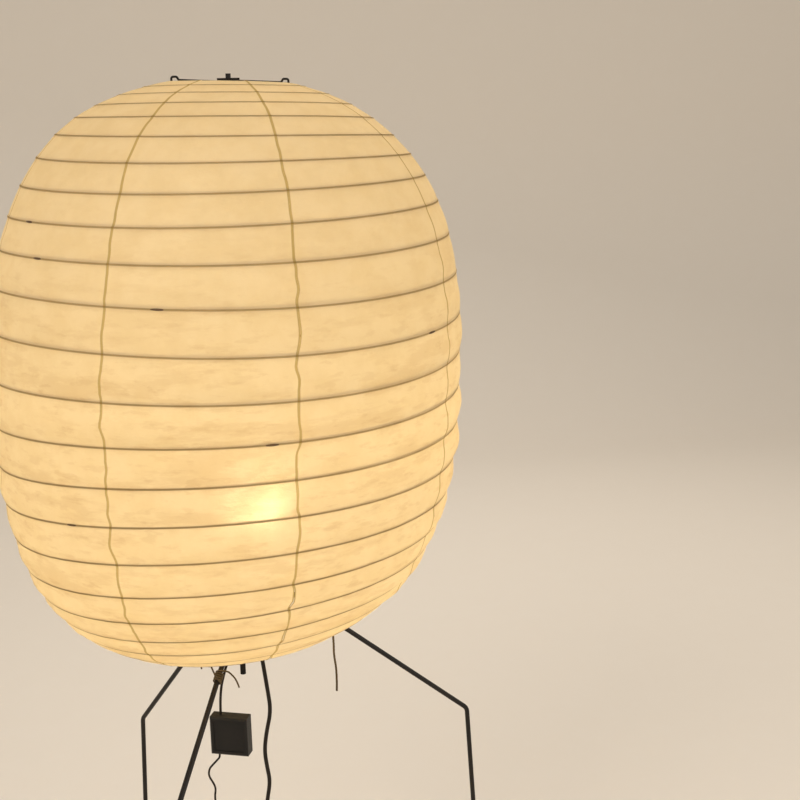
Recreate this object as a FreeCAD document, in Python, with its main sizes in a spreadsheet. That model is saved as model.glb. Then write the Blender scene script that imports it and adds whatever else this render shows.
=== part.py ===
"""Paper lantern floor lamp: an egg-shaped paper shade wound on one spiral rib, hung from a wire
cross-bar on a bent stem, over three bent rod legs that meet in a turned hub.

Millimetres, +Z up. The floor is Z = 0, the camera side is -Y, and the origin lies under the
middle of the lamp's outline. The shade is drawn about its own axis, and the frame about the
hub's axis, which stands at HUB_AXIS.
"""
import FreeCAD, Part
import math
import os
import Sketcher

V = FreeCAD.Vector
UP = V(0, 0, 1)
doc = FreeCAD.newDocument("paper_lantern_floor_lamp")

# ------------------------------------------------------------------ driving dimensions
SIZES = {
    # shade: two super-ellipse halves turned about an upright axis, with a low crown at the top ring
    "shade_radius": 265.3,
    "shade_upper_height": 321.5,
    "shade_lower_height": 330.6,
    "shade_upper_fullness": 2.62,
    "shade_lower_fullness": 2.81,
    "crown_rise": 3.9,
    "crown_reach": 48.3,
    "shade_foot_level": 588.4,
    "top_ring_radius": 68.2,
    "bottom_ring_radius": 130.0,
    "ring_wire": 3.0,
    "ring_gap": 0.3,
    "paper_thickness": 0.4,
    "paper_margin": 6.0,
    "gore_count": 8,
    "gore_gap": 0.2,
    "first_seam_angle": -75.0,
    "notch_width": 4.5,
    "notch_depth": 9.0,
    "notch_inside": 1.0,
    # spiral rib
    "rib_turns": 22,
    "rib_diameter": 2.6,
    "rib_start_angle": 105.0,
    "rib_lead_in": 0.02,
    "rib_glue_gap": 0.4,
    "rib_crowding": 0.2436,
    "rib_crowding_high": 0.0589,
    "rib_crowding_double": 0.0494,
    "rib_slow_wave": 3.12,
    "rib_fast_wave": 4.27,
    # frame
    "seat_gap": 0.05,
    "hub_level": 672.3,
    "hub_radius": 26.0,
    "hub_above": 8.0,
    "hub_below": 34.0,
    "hub_flank": 22.0,
    "hub_foot_radius": 13.0,
    "hub_bore": 6.0,
    "leg_diameter": 6.0,
    "leg_bend_radius": 12.0,
    "leg_socket_start": 10.0,
    "leg_fit": 0.1,
    "foot_tip_diameter": 10.0,
    "foot_tip_length": 18.0,
    "foot_tip_floor": 3.0,
    "stem_diameter": 5.0,
    "stem_offset": 18.0,
    "stem_bulge": 44.0,
    "stem_bend_radius": 14.0,
    "stem_straight": 6.0,
    "stem_bulge_low": 730.0,
    "stem_bulge_high": 800.0,
    "stem_return_level": 850.0,
    "stem_foot_level": 537.0,
    "stem_fit": 0.1,
    "stem_tip_diameter": 6.8,
    "stem_tip_length": 12.0,
    "stem_tip_floor": 2.0,
    "stud_diameter": 3.0,
    "stud_fit": 0.1,
    "stud_root": 3.0,
    "stud_short_of_finial": 1.5,
    "crosswire_diameter": 2.5,
    "crosswire_gap": 0.3,
    "crosswire_detour": 4.2,
    "crosswire_detour_start": 14.0,
    "crosswire_detour_half": 4.0,
    "crosswire_bend": 2.2,
    "crosswire_arch_rise": 3.6,
    "crosswire_arch_width": 6.0,
    "crosswire_arch_lean": 2.0,
    "crosswire_hook_tip": 1.0,
    "washer_radius": 6.0,
    "washer_thickness": 1.5,
    "saddle_length": 25.0,
    "saddle_width": 12.0,
    "saddle_thickness": 2.0,
    "finial_radius": 2.9,
    "finial_height": 5.0,
    "screw_diameter": 4.0,
    "screw_head_radius": 6.0,
    "screw_head_length": 8.0,
    "screw_reach": 20.0,
    "screw_fit": 0.05,
    "screw_head_gap": 0.3,
    "screw_head_root": 0.5,
    "stem_screw_head_radius": 5.0,
    # lampholder and bulb
    "nipple_radius": 5.0,
    "nipple_bore": 3.5,
    "nipple_seat": 14.0,
    "nipple_nut_height": 4.0,
    "nipple_nut_across": 14.0,
    "holder_foot_radius": 11.0,
    "holder_radius": 18.5,
    "holder_wall": 2.8,
    "holder_floor": 4.0,
    "holder_base_height": 13.7,
    "nipple_above_nut": 1.0,
    "plate_thickness": 2.0,
    "holder_shell_height": 24.0,
    "tongue_thickness": 0.8,
    "tongue_length": 10.0,
    "tongue_width": 5.0,
    "sleeve_wall": 0.6,
    "sleeve_height": 20.0,
    "cap_radius": 13.2,
    "cap_height": 21.0,
    "cap_fit": 0.4,
    "cap_shell": 0.8,
    "insulator_height": 3.0,
    "contact_radius": 4.5,
    "contact_height": 1.2,
    "contact_gap": 0.2,
    "bulb_radius": 28.0,
    "bulb_wall": 0.9,
    "bulb_centre_above_cap": 66.0,
    "bulb_neck_radius": 12.0,
    "bulb_neck_sink": 3.0,
    "insulator_lip": 0.5,
    "holder_floor_flare": 1.0,
    # mains lead
    "lead_diameter": 5.0,
    "lead_bush_length": 30.0,
    "lead_bush_radius": 6.0,
    "lead_bush_end_radius": 3.6,
    "lead_bush_collar": 3.0,
    "coil_turns": 6,
    "coil_radius": 27.5,
    "coil_pitch": 5.7,
    "coil_level": 4.4,
    "coil_x": 47.5,
    "coil_y": 180.0,
    "coil_tie_width": 8.0,
    "coil_tie_thickness": 1.0,
    "coil_tie_slack": 0.4,
    "plug_length": 34.0,
    "plug_width": 26.0,
    "plug_thickness": 14.0,
    "plug_boot_length": 24.0,
    "plug_boot_radius": 5.5,
    "plug_boot_end_radius": 3.6,
    "plug_boot_gap": 0.4,
    "pin_diameter": 4.0,
    "pin_length": 19.0,
    "pin_spacing": 18.6,
    # pull switch hung on its thin lead
    "box_width": 45.0,
    "box_height": 46.0,
    "box_depth": 17.0,
    "box_lid_depth": 7.0,
    "box_wall": 1.8,
    "box_edge": 2.0,
    "box_panel_inset": 5.0,
    "box_panel_sink": 0.8,
    "box_turn": 20.0,
    "box_x": -35.0,
    "box_y": -96.0,
    "box_level": 505.0,
    "thin_lead_diameter": 3.0,
    "thin_lead_inset": 10.0,
    "box_port_fit": 0.1,
    "box_screw_radius": 1.5,
    "box_screw_head_radius": 2.7,
    "box_screw_head_height": 1.2,
    "box_screw_inset": 6.0,
    "pull_inset": 6.0,
    "pull_stub": 5.0,
    "pull_rod_diameter": 2.6,
    "pull_rod_fit": 0.08,
    "pull_flange_radius": 3.2,
    "pull_flange_thickness": 1.6,
    "pull_lift": 13.0,
    "block_width": 32.0,
    "block_height": 14.0,
    "block_depth": 8.5,
    "block_side_gap": 1.0,
    "block_front_gap": 2.0,
    "spring_wire": 0.6,
    "spring_radius": 2.3,
    "spring_turns": 6,
    "spring_end_gap": 0.1,
    "pull_cord_diameter": 2.4,
    "pull_cord_drop": 4.0,
    "pull_bead_radius": 6.5,
    # string ties between the bottom ring and the legs
    "tie_start": 0.25,
    "tie_loop_gap": 0.6,
    "tie_gap": 0.3,
    "knot_radius": 3.4,
    "knot_slack": 0.15,
    "knot_lead": 8.0,
    "knot_slit_gap": 0.4,
    "span_lift": 0.38,
    "span_sag": 0.05,
}

sheet = doc.addObject("Spreadsheet::Sheet", "Sizes")
for row, (alias, number) in enumerate(SIZES.items(), start=1):
    sheet.set("A%d" % row, alias)
    sheet.set("B%d" % row, str(number))
    sheet.setAlias("B%d" % row, alias)
doc.recompute()


def size(name):
    """The value of one named dimension."""
    return float(sheet.get(name))


# Each leg: direction seen from above (degrees, +X is 0), how far out and how far down its knee
# is from the hub's centre, how far out its foot is, and where its string is wound, from the hub.
LEGS = {
    "right": {"azimuth": 10.8, "knee_out": 273.0, "knee_drop": 228.8, "foot_out": 297.0,
              "tie_out": 97.0, "tie_end": 5.25, "tie_climb": 1, "string": 2.8},
    "rear": {"azimuth": 131.8, "knee_out": 237.5, "knee_drop": 266.5, "foot_out": 261.0,
             "tie_out": 105.0, "tie_end": 5.25, "tie_climb": 1, "string": 2.0},
    "front": {"azimuth": -112.7, "knee_out": 281.2, "knee_drop": 218.9, "foot_out": 311.0,
              "tie_out": 117.0, "tie_end": 5.0, "tie_climb": -1, "string": 2.0},
}

# ------------------------------------------------------------------ the shade's outline
# How the shade hangs off the hub's axis: (share of the height, shift along X). It leans, and its
# foot swings out to the left.
SWAY = [(0.0, -27.5), (0.12, -21.6), (0.5, -13.7), (1.0, 2.2)]

# It is askew too, its left side up at the top and its right side up below. Each pair is (share
# of the height, rise per millimetre of X).
SKEW = [(0.0, 0.046), (0.25, 0.032), (0.6, -0.025), (0.93, -0.048), (0.985, -0.035), (1.0, -0.035)]


def between(table, share):
    """The value of a table of (share, value) pairs at a share, straight between its rows."""
    share = min(max(share, table[0][0]), table[-1][0])
    for (low, low_value), (high, high_value) in zip(table, table[1:]):
        if share <= high:
            return low_value + (high_value - low_value) * (share - low) / (high - low)


def height_share(height):
    """A height above the shade's foot as a share of its two halves."""
    return height / (size("shade_upper_height") + size("shade_lower_height"))


def meridian_angle(half, fullness, ring):
    """Where round the super-ellipse a ring's radius is, on the upper (1) or lower (-1) half."""
    angle = math.asin((size(ring) / size("shade_radius")) ** (size(fullness) / 2.0))
    return angle if half > 0 else math.pi - angle


def meridian_point(angle):
    """The outline as (radius, height above the shade's foot); the angle runs down from the top."""
    upper = angle < math.pi / 2.0
    power = 2.0 / size("shade_upper_fullness" if upper else "shade_lower_fullness")
    radius = size("shade_radius") * math.sin(angle) ** power
    half_height = size("shade_upper_height" if upper else "shade_lower_height")
    rise = half_height * math.copysign(abs(math.cos(angle)) ** power, math.cos(angle))
    if upper:
        rise += size("crown_rise") * math.exp((size("top_ring_radius") - radius) / size("crown_reach"))
    return radius, size("shade_lower_height") + rise


def measured_meridian():
    """Points down the outline from the top ring to the bottom ring, with the distance along."""
    first = meridian_angle(1, "shade_upper_fullness", "top_ring_radius")
    last = meridian_angle(-1, "shade_lower_fullness", "bottom_ring_radius")
    steps = 3000
    row = []
    distance = 0.0
    for i in range(steps + 1):
        radius, height = meridian_point(first + (last - first) * i / steps)
        if row:
            distance += math.hypot(radius - row[-1][1], height - row[-1][2])
        row.append((distance, radius, height))
    return row


MERIDIAN = measured_meridian()
MERIDIAN_LENGTH = MERIDIAN[-1][0]


def along_meridian(distance):
    """Radius, height and outward normal at a distance down the paper from the top ring."""
    low, high = 0, len(MERIDIAN) - 1
    while high - low > 1:
        middle = (low + high) // 2
        if MERIDIAN[middle][0] <= distance:
            low = middle
        else:
            high = middle
    start, end = MERIDIAN[low], MERIDIAN[high]
    share = (distance - start[0]) / (end[0] - start[0])
    radius = start[1] + share * (end[1] - start[1])
    height = start[2] + share * (end[2] - start[2])
    length = math.hypot(end[1] - start[1], end[2] - start[2])
    return radius, height, (start[2] - end[2]) / length, (end[1] - start[1]) / length


# ------------------------------------------------------------------ where the parts stand
tip_radius = size("foot_tip_diameter") / 2.0
reach_right = tip_radius + LEGS["right"]["foot_out"] * math.cos(math.radians(LEGS["right"]["azimuth"]))
reach_front = tip_radius - LEGS["front"]["foot_out"] * math.sin(math.radians(LEGS["front"]["azimuth"]))
reach_left = max(radius - between(SWAY, height_share(height)) for _, radius, height in MERIDIAN)
reach_back = size("shade_radius")
HUB_AXIS = V((reach_left - reach_right) / 2.0, (reach_front - reach_back) / 2.0, 0)
HUB = HUB_AXIS + V(0, 0, size("hub_level"))


def on_axis(x, y, z):
    """A point given from the foot of the hub's axis."""
    return HUB_AXIS + V(x, y, z)


# ------------------------------------------------------------------ helpers
def feature(label, shape):
    """A piece whose shape is worked out here, because no primitive or sketch fits it."""
    piece = doc.addObject("Part::Feature", label)
    piece.Label = label
    piece.Shape = shape
    return piece


def cylinder(label, radius, height, base, axis=UP):
    """A cylinder whose radius and height are bound to the sheet."""
    piece = doc.addObject("Part::Cylinder", label)
    piece.Label = label
    piece.setExpression("Radius", radius)
    piece.setExpression("Height", height)
    piece.Placement = FreeCAD.Placement(base, FreeCAD.Rotation(UP, axis))
    return piece


def cut(label, body, tools):
    """One body with one or more others taken out of it."""
    tool = tools[0]
    if len(tools) > 1:
        tool = doc.addObject("Part::MultiFuse", label + "_tools")
        tool.Shapes = tools
    piece = doc.addObject("Part::Cut", label)
    piece.Label = label
    piece.Base = body
    piece.Tool = tool
    return piece


def turned(label, outline, base, axis=UP):
    """A turned piece. The outline is a closed list of (radius, height) in the sheet's terms,
    drawn beside the upright axis and revolved about it."""
    body = doc.addObject("PartDesign::Body", label)
    body.Label = label
    sketch = body.newObject("Sketcher::SketchObject", label + "_outline")
    plane = [f for f in body.Origin.OriginFeatures if f.Role == "XZ_Plane"][0]
    sketch.AttachmentSupport = (plane, "")
    sketch.MapMode = "FlatFace"
    count = len(outline)
    corners = [V(10 + 8 * math.cos(2 * math.pi * i / count),
                 10 + 8 * math.sin(2 * math.pi * i / count), 0) for i in range(count)]
    for i in range(count):
        sketch.addGeometry(Part.LineSegment(corners[i], corners[(i + 1) % count]), False)
    for i in range(count):
        sketch.addConstraint(Sketcher.Constraint("Coincident", i, 2, (i + 1) % count, 1))
    for i, (radius, height) in enumerate(outline):
        for direction, term in (("DistanceX", radius), ("DistanceY", height)):
            index = sketch.addConstraint(Sketcher.Constraint(direction, -1, 1, i, 1, 5.0))
            name = "%s%d" % (direction[-1].lower(), i)
            sketch.renameConstraint(index, name)
            sketch.setExpression("Constraints." + name, term)
    revolution = body.newObject("PartDesign::Revolution", label + "_turned")
    revolution.Profile = sketch
    revolution.ReferenceAxis = (sketch, ["V_Axis"])
    revolution.Angle = 360.0
    body.Tip = revolution
    body.Placement = FreeCAD.Placement(base, FreeCAD.Rotation(UP, axis))
    return body


def sweep(edges, diameter):
    """A round rod or cord along a smooth row of straight and curved edges."""
    path = Part.Wire(edges)
    start = edges[0].valueAt(edges[0].FirstParameter)
    along = edges[0].tangentAt(edges[0].FirstParameter)
    ring = Part.Wire([Part.Circle(start, along, diameter / 2.0).toShape()])
    solid = path.makePipeShell([ring], True, False)
    if solid.Volume < 0:
        solid.reverse()
    expected = path.Length * math.pi * diameter ** 2 / 4.0
    if abs(solid.Volume - expected) > 0.02 * expected:
        raise ValueError("a swept piece lost its section: %.1f of %.1f" % (solid.Volume, expected))
    return solid


def rounded_route(points, radii):
    """Straight runs joined by tangent arcs, with one radius for each inner point."""
    edges = []
    last = points[0]
    for before, corner, after, radius in zip(points, points[1:], points[2:], radii):
        into = (corner - before).normalize()
        out = (after - corner).normalize()
        half_turn = into.getAngle(out) / 2.0
        reach = radius * math.tan(half_turn)
        start = corner - into * reach
        end = corner + out * reach
        inward = (out - into).normalize()
        middle = corner + inward * radius * (1.0 / math.cos(half_turn) - 1.0)
        edges.append(Part.LineSegment(last, start).toShape())
        edges.append(Part.Arc(start, middle, end).toShape())
        last = end
    edges.append(Part.LineSegment(last, points[-1]).toShape())
    return edges


def cord_radii(label, points, diameter):
    """The largest arc that each corner's two runs allow, printed for the record."""
    radii = []
    for before, corner, after in zip(points, points[1:], points[2:]):
        shorter = min((corner - before).Length, (after - corner).Length)
        half_turn = (corner - before).getAngle(after - corner) / 2.0
        radii.append(0.45 * shorter / math.tan(half_turn))
    print("%s: radii from %.0f to %.0f mm, %.1f diameters at the tightest"
          % (label, min(radii), max(radii), min(radii) / diameter))
    return radii


def free_cord(label, points, diameter):
    """A free stretch of cord as a tube along its route."""
    return feature(label, sweep(rounded_route(points, cord_radii(label, points, diameter)), diameter))


def biarc(start, start_way, end, end_way):
    """Two tangent arcs that leave one point and reach the next along the given directions."""
    chord = end - start
    ways = start_way + end_way
    spread = 2.0 * (1.0 - start_way.dot(end_way))
    along = chord.dot(ways)
    reach = (math.sqrt(along ** 2 + spread * chord.dot(chord)) - along) / spread
    joint = (start + end + (start_way - end_way) * reach) * 0.5
    return [arc_along(start, start_way, joint), arc_along(end, end_way * -1.0, joint, True)]


def arc_along(start, way, end, backwards=False):
    """The arc from start to end that leaves start along way."""
    chord = end - start
    half = chord.getAngle(way)
    side = way - chord * (way.dot(chord) / chord.dot(chord))
    middle = (start + end) * 0.5 + side.normalize() * (chord.Length / 2.0 * math.tan(half / 2.0))
    if backwards:
        return Part.Arc(end, middle, start).toShape()
    return Part.Arc(start, middle, end).toShape()


def wound(points, ways):
    """A row of biarcs through a winding's points."""
    edges = []
    for i in range(len(points) - 1):
        edges += biarc(points[i], ways[i], points[i + 1], ways[i + 1])
    return edges


def way_along(curve, at, step=1e-4):
    """The direction of a curve that is given as a function."""
    return (curve(at + step) - curve(at - step)).normalize()


def least_gap(curve, first, last, turn, diameter, samples=48):
    """The least gap between a winding's own loops, from points along it."""
    count = int(samples * (last - first) / turn)
    points = [curve(first + (last - first) * i / count) for i in range(count + 1)]
    least = 1e9
    for i in range(len(points)):
        for j in range(i + int(0.6 * samples), min(len(points), i + int(1.4 * samples))):
            least = min(least, (points[i] - points[j]).Length)
    return least - diameter


def azimuth(degrees):
    """The level direction at an angle from +X."""
    return V(math.cos(math.radians(degrees)), math.sin(math.radians(degrees)), 0)


# ------------------------------------------------------------------ the shade's surface
def shade_point(distance, angle, inset=0.0):
    """A point of the paper: distance down from the top ring, angle in degrees from +X."""
    radius, height, out_part, up_part = along_meridian(distance)
    radius -= inset * out_part
    height -= inset * up_part
    share = height_share(height)
    aside = radius * math.cos(math.radians(angle))
    return on_axis(between(SWAY, share) + aside, radius * math.sin(math.radians(angle)),
                   size("shade_foot_level") + height + aside * between(SKEW, share))


def rib_distance(turn):
    """How far down the paper the rib is after so many turns. Turns crowd together towards both
    rings, and the winding wavers as a hand-wound one does."""
    share = (turn + size("rib_lead_in")) / size("rib_turns")
    circle = 2.0 * math.pi * share
    even = (share
            - size("rib_crowding") * math.sin(circle) / (2.0 * math.pi)
            - size("rib_crowding_high") * (1.0 - math.cos(circle)) / (2.0 * math.pi)
            + size("rib_crowding_double") * math.sin(2.0 * circle) / (4.0 * math.pi))
    fade = math.sin(math.pi * min(max(share, 0.0), 1.0))
    waver = (size("rib_slow_wave") * math.sin(2.0 * math.pi * 0.826 * turn - 1.727)
             + size("rib_fast_wave") * math.sin(2.0 * math.pi * 2.063 * turn - 2.258))
    margin = size("paper_margin")
    return margin + (MERIDIAN_LENGTH - 2.0 * margin) * even + fade * waver


def rib_angle(turn):
    """The rib's direction seen from above: it climbs to the right, so it falls to the left."""
    return size("rib_start_angle") - 360.0 * turn


# ------------------------------------------------------------------ shade pieces
def gore_at(angle):
    """Which gore holds a direction, counted from the first seam."""
    return int(((angle - size("first_seam_angle")) % 360.0) * size("gore_count") / 360.0)


def make_gore(number):
    """One paper gore: straight strips from each turn of the rib to the next, closed into a thin
    solid. Its edges meet the next gores' at the seams."""
    width = 360.0 / size("gore_count")
    first = size("first_seam_angle") + number * width
    half_gap = math.degrees(size("gore_gap") / 2.0 / size("shade_radius"))
    steps = 4
    angles = [first + half_gap + (width - 2.0 * half_gap) * i / steps for i in range(steps + 1)]
    behind = (size("rib_start_angle") - first - width) % 360.0
    if behind > 359.99:
        behind = 0.0

    def line_at(line, angle):
        """How far down the paper a strip's edge is: the ring, each turn, then the other ring."""
        if line == 0:
            return 0.0
        if line > size("rib_turns"):
            return MERIDIAN_LENGTH
        return rib_distance(line - 1 + (behind + first + width - angle) / 360.0)

    def edge_of(line, inset):
        curve = Part.BSplineCurve()
        curve.interpolate([shade_point(line_at(line, angle), angle, inset) for angle in angles])
        return curve.toShape()

    lines = range(int(size("rib_turns")) + 2)
    outer = [edge_of(line, 0.0) for line in lines]
    inner = [edge_of(line, size("paper_thickness")) for line in lines]
    faces = [Part.makeRuledSurface(outer[0], inner[0]), Part.makeRuledSurface(outer[-1], inner[-1])]
    for above, below in zip(lines, lines[1:]):
        faces.append(Part.makeRuledSurface(outer[above], outer[below]))
        faces.append(Part.makeRuledSurface(inner[above], inner[below]))
        for end in (0, -1):
            sides = [Part.LineSegment(skin[above].Vertexes[end].Point,
                                      skin[below].Vertexes[end].Point).toShape()
                     for skin in (outer, inner)]
            faces.append(Part.makeRuledSurface(sides[0], sides[1]))
    skin = Part.Compound(faces)
    skin.sewShape(0.001)
    solid = Part.Solid(skin.Shells[0])
    if solid.Volume < 0:
        solid.reverse()
    return solid


def make_rib():
    """The spiral rib, glued inside the paper from ring to ring."""
    turns = int(size("rib_turns"))
    inset = size("paper_thickness") + size("rib_diameter") / 2.0 + size("rib_glue_gap")
    first, last = 0.01, turns - 0.01

    def rib(turn):
        return shade_point(rib_distance(turn), rib_angle(turn), inset)

    stops = [first + (last - first) * i / (4 * turns) for i in range(4 * turns + 1)]
    edges = wound([rib(stop) for stop in stops], [way_along(rib, stop) for stop in stops])
    print("spiral_rib: least gap between turns %.1f mm"
          % least_gap(rib, first, last, 1.0, size("rib_diameter")))
    return sweep(edges, size("rib_diameter"))


def ring_places(distance):
    """The right and left ends of a wire ring inside the paper's edge."""
    inset = size("paper_thickness") + size("ring_wire") / 2.0 + size("ring_gap")
    return shade_point(distance, 0.0, inset), shade_point(distance, 180.0, inset)


def make_ring(label, distance):
    """A wire ring inside the paper's edge."""
    right, left = ring_places(distance)
    ring = doc.addObject("Part::Torus", label)
    ring.Label = label
    ring.Radius1 = (right.x - left.x) / 2.0
    ring.setExpression("Radius2", "Sizes.ring_wire / 2")
    ring.Placement = FreeCAD.Placement((right + left) * 0.5, FreeCAD.Rotation(V(1, 0, 0), right - left))
    return ring


make_ring("top_ring", 0.0)
make_ring("bottom_ring", MERIDIAN_LENGTH)
feature("spiral_rib", make_rib())

# the bottom ring's middle, radius and tilt, and where each leg's string is knotted on it
ring_right, ring_left = ring_places(MERIDIAN_LENGTH)
ring_centre = (ring_right + ring_left) * 0.5
ring_radius = (ring_right.x - ring_left.x) / 2.0
ring_tilt = FreeCAD.Rotation(V(1, 0, 0), ring_right - ring_left)
knots = {}
for name, leg in LEGS.items():
    towards = HUB_AXIS + azimuth(leg["azimuth"]) * (ring_radius + size("knot_lead")) - ring_centre
    across = ring_tilt.multVec(V(towards.x, towards.y, 0).normalize())
    knots[name] = (ring_centre + across * ring_radius, across, ring_tilt.multVec(UP).cross(across))


def rim_slit(width, depth, start, outward):
    """A slit in the paper's rim, from a start point outward."""
    slit = doc.addObject("Part::Box", "rim_slit")
    slit.setExpression("Length", depth)
    slit.setExpression("Width", width)
    slit.setExpression("Height", depth + " * 2")
    slit.Placement.Rotation = FreeCAD.Rotation(V(1, 0, 0), outward)
    doc.recompute()
    half = slit.Placement.Rotation.multVec(V(0, slit.Width.Value / 2.0, slit.Height.Value / 2.0))
    slit.Placement.Base = start - half
    return slit


slits = {}
for angle, outward in ((0.0, V(1, 0, 0)), (180.0, V(-1, 0, 0))):
    slits.setdefault(gore_at(angle), []).append(
        rim_slit("Sizes.notch_width", "Sizes.notch_depth",
                 shade_point(0.0, angle) - outward * size("notch_inside"), outward))
for centre, across, _ in knots.values():
    from_middle = centre - ring_centre
    angle = math.degrees(math.atan2(from_middle.y, from_middle.x))
    slits.setdefault(gore_at(angle), []).append(
        rim_slit("2 * (Sizes.knot_radius + Sizes.knot_slit_gap)",
                 "2 * (Sizes.knot_radius + Sizes.knot_slit_gap)",
                 centre - across * (size("knot_radius") + size("knot_slit_gap")), across))
for number in range(int(size("gore_count"))):
    label = "paper_gore_%d" % (number + 1)
    if number in slits:
        cut(label, feature("whole_" + label, make_gore(number)), slits[number])
    else:
        feature(label, make_gore(number))

# ------------------------------------------------------------------ hub, legs and feet
hub_body = turned("hub_blank", [
    ("Sizes.hub_bore / 2", "-Sizes.hub_below"),
    ("Sizes.hub_foot_radius", "-Sizes.hub_below"),
    ("Sizes.hub_radius", "-Sizes.hub_flank"),
    ("Sizes.hub_radius", "Sizes.hub_above"),
    ("Sizes.nipple_radius", "Sizes.hub_above"),
    ("Sizes.nipple_radius", "Sizes.hub_above - Sizes.nipple_seat"),
    ("Sizes.hub_bore / 2", "Sizes.hub_above - Sizes.nipple_seat"),
], HUB)
hub_tools = []
leg_ways = {}
foot_tips = []
for name, leg in LEGS.items():
    outward = azimuth(leg["azimuth"])
    knee = HUB + outward * leg["knee_out"] - UP * leg["knee_drop"]
    foot = HUB_AXIS + outward * leg["foot_out"]
    way = (knee - HUB).normalize()
    last_way = (foot - knee).normalize()
    leg_ways[name] = way
    start = HUB + way * size("leg_socket_start")
    rod_end = foot - last_way * (size("foot_tip_floor") / abs(last_way.z))
    route = rounded_route([start, knee, rod_end], [size("leg_bend_radius")])
    feature("leg_" + name, sweep(route, size("leg_diameter")))
    hub_tools.append(cylinder("socket_" + name, "Sizes.leg_diameter / 2 + Sizes.leg_fit",
                              "Sizes.hub_radius * 2", start, way))
    # foot tip: a rubber cap along the last run, cut level at the floor
    cap_start = foot - last_way * size("foot_tip_length")
    cap = cylinder("cap_" + name, "Sizes.foot_tip_diameter / 2", "Sizes.foot_tip_length + 4",
                   cap_start, last_way)
    bore = cylinder("cap_bore_" + name, "Sizes.leg_diameter / 2 + Sizes.screw_fit",
                    "Sizes.foot_tip_length - Sizes.foot_tip_floor + Sizes.seat_gap", cap_start, last_way)
    below = doc.addObject("Part::Box", "below_floor_" + name)
    room = 2.0 * size("foot_tip_length")
    below.Length = below.Width = below.Height = room
    below.Placement.Base = foot - V(room / 2.0, room / 2.0, room)
    foot_tips.append(cut("foot_tip_" + name, cap, [bore, below]))
    # thumb screw: level, square to the leg, through the hub's side
    aside = azimuth(leg["azimuth"] - 90.0)
    nip = HUB + way * size("screw_reach") + aside * (size("leg_diameter") / 2.0)
    offset = size("screw_reach") * math.hypot(way.x, way.y)
    nearest = max(offset - size("screw_head_radius"), 0.0)
    face = math.sqrt(size("hub_radius") ** 2 - nearest ** 2) - size("leg_diameter") / 2.0
    hub_tools.append(cylinder("screw_hole_" + name, "Sizes.screw_diameter / 2 + Sizes.screw_fit",
                              "Sizes.hub_radius", nip - aside * size("screw_head_root"), aside))
    shank = cylinder("shank_" + name, "Sizes.screw_diameter / 2",
                     "%.4f + Sizes.screw_head_gap + Sizes.screw_head_root" % face,
                     nip + aside * size("seat_gap"), aside)
    screw_head = cylinder("screw_head_" + name, "Sizes.screw_head_radius", "Sizes.screw_head_length",
                          nip + aside * (size("seat_gap") + face + size("screw_head_gap")), aside)
    joined = doc.addObject("Part::MultiFuse", "leg_screw_" + name)
    joined.Shapes = [shank, screw_head]

all_tips = doc.addObject("Part::Compound", "foot_tips")
all_tips.Links = foot_tips

# ------------------------------------------------------------------ stem
top_right, top_left = ring_places(0.0)
top_middle = (top_right + top_left) * 0.5
rim_level = (shade_point(0.0, 0.0).z + shade_point(0.0, 180.0).z) / 2.0
crosswire_level = rim_level + size("crosswire_diameter") / 2.0 + size("crosswire_gap")
washer_level = (crosswire_level - size("crosswire_diameter") / 2.0 - size("seat_gap")
                - size("washer_thickness"))
stem_x = -size("stem_offset")
stem_route = [
    on_axis(stem_x, 0, size("stem_foot_level") + size("stem_tip_floor")),
    on_axis(stem_x, 0, size("hub_level") + size("hub_above") + size("stem_straight")),
    on_axis(-size("stem_bulge"), 0, size("stem_bulge_low")),
    on_axis(-size("stem_bulge"), 0, size("stem_bulge_high")),
    on_axis(0, 0, size("stem_return_level")),
    on_axis(0, 0, washer_level - size("seat_gap")),
]
stem_rod = feature("stem_rod", sweep(rounded_route(stem_route, [size("stem_bend_radius")] * 4),
                                     size("stem_diameter")))
finial_level = (crosswire_level + size("crosswire_diameter") / 2.0 + size("seat_gap")
                + size("saddle_thickness"))
stud = doc.addObject("Part::Cylinder", "stud")
stud.setExpression("Radius", "Sizes.stud_diameter / 2")
stud_foot = washer_level - size("stud_root")
stud.Height = finial_level + size("finial_height") - size("stud_short_of_finial") - stud_foot
stud.Placement.Base = on_axis(0, 0, stud_foot)
stem = doc.addObject("Part::Fuse", "stem")
stem.Base = stem_rod
stem.Tool = stud
hub_tools.append(cylinder("stem_hole", "Sizes.stem_diameter / 2 + Sizes.stem_fit",
                          "Sizes.hub_above + Sizes.hub_below + 4",
                          HUB + V(stem_x, 0, -size("hub_below") - 2.0)))
stem_nip = HUB + V(stem_x - size("stem_diameter") / 2.0, 0, size("hub_above") / 4.0)
hub_tools.append(cylinder("stem_screw_hole", "Sizes.screw_diameter / 2 + Sizes.screw_fit",
                          "Sizes.hub_radius", stem_nip + V(size("screw_head_root"), 0, 0), V(-1, 0, 0)))
stem_face = size("hub_radius") - size("stem_offset") - size("stem_diameter") / 2.0
stem_shank = cylinder("stem_shank", "Sizes.screw_diameter / 2",
                      "%.4f + Sizes.screw_head_gap + Sizes.screw_head_root" % stem_face,
                      stem_nip - V(size("seat_gap"), 0, 0), V(-1, 0, 0))
stem_head_x = size("seat_gap") + stem_face + size("screw_head_gap")
stem_screw_head = cylinder("stem_screw_head", "Sizes.stem_screw_head_radius",
                           "Sizes.screw_head_length", stem_nip - V(stem_head_x, 0, 0), V(-1, 0, 0))
stem_screw = doc.addObject("Part::MultiFuse", "stem_screw")
stem_screw.Shapes = [stem_shank, stem_screw_head]
cut("hub", hub_body, hub_tools)

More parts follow.
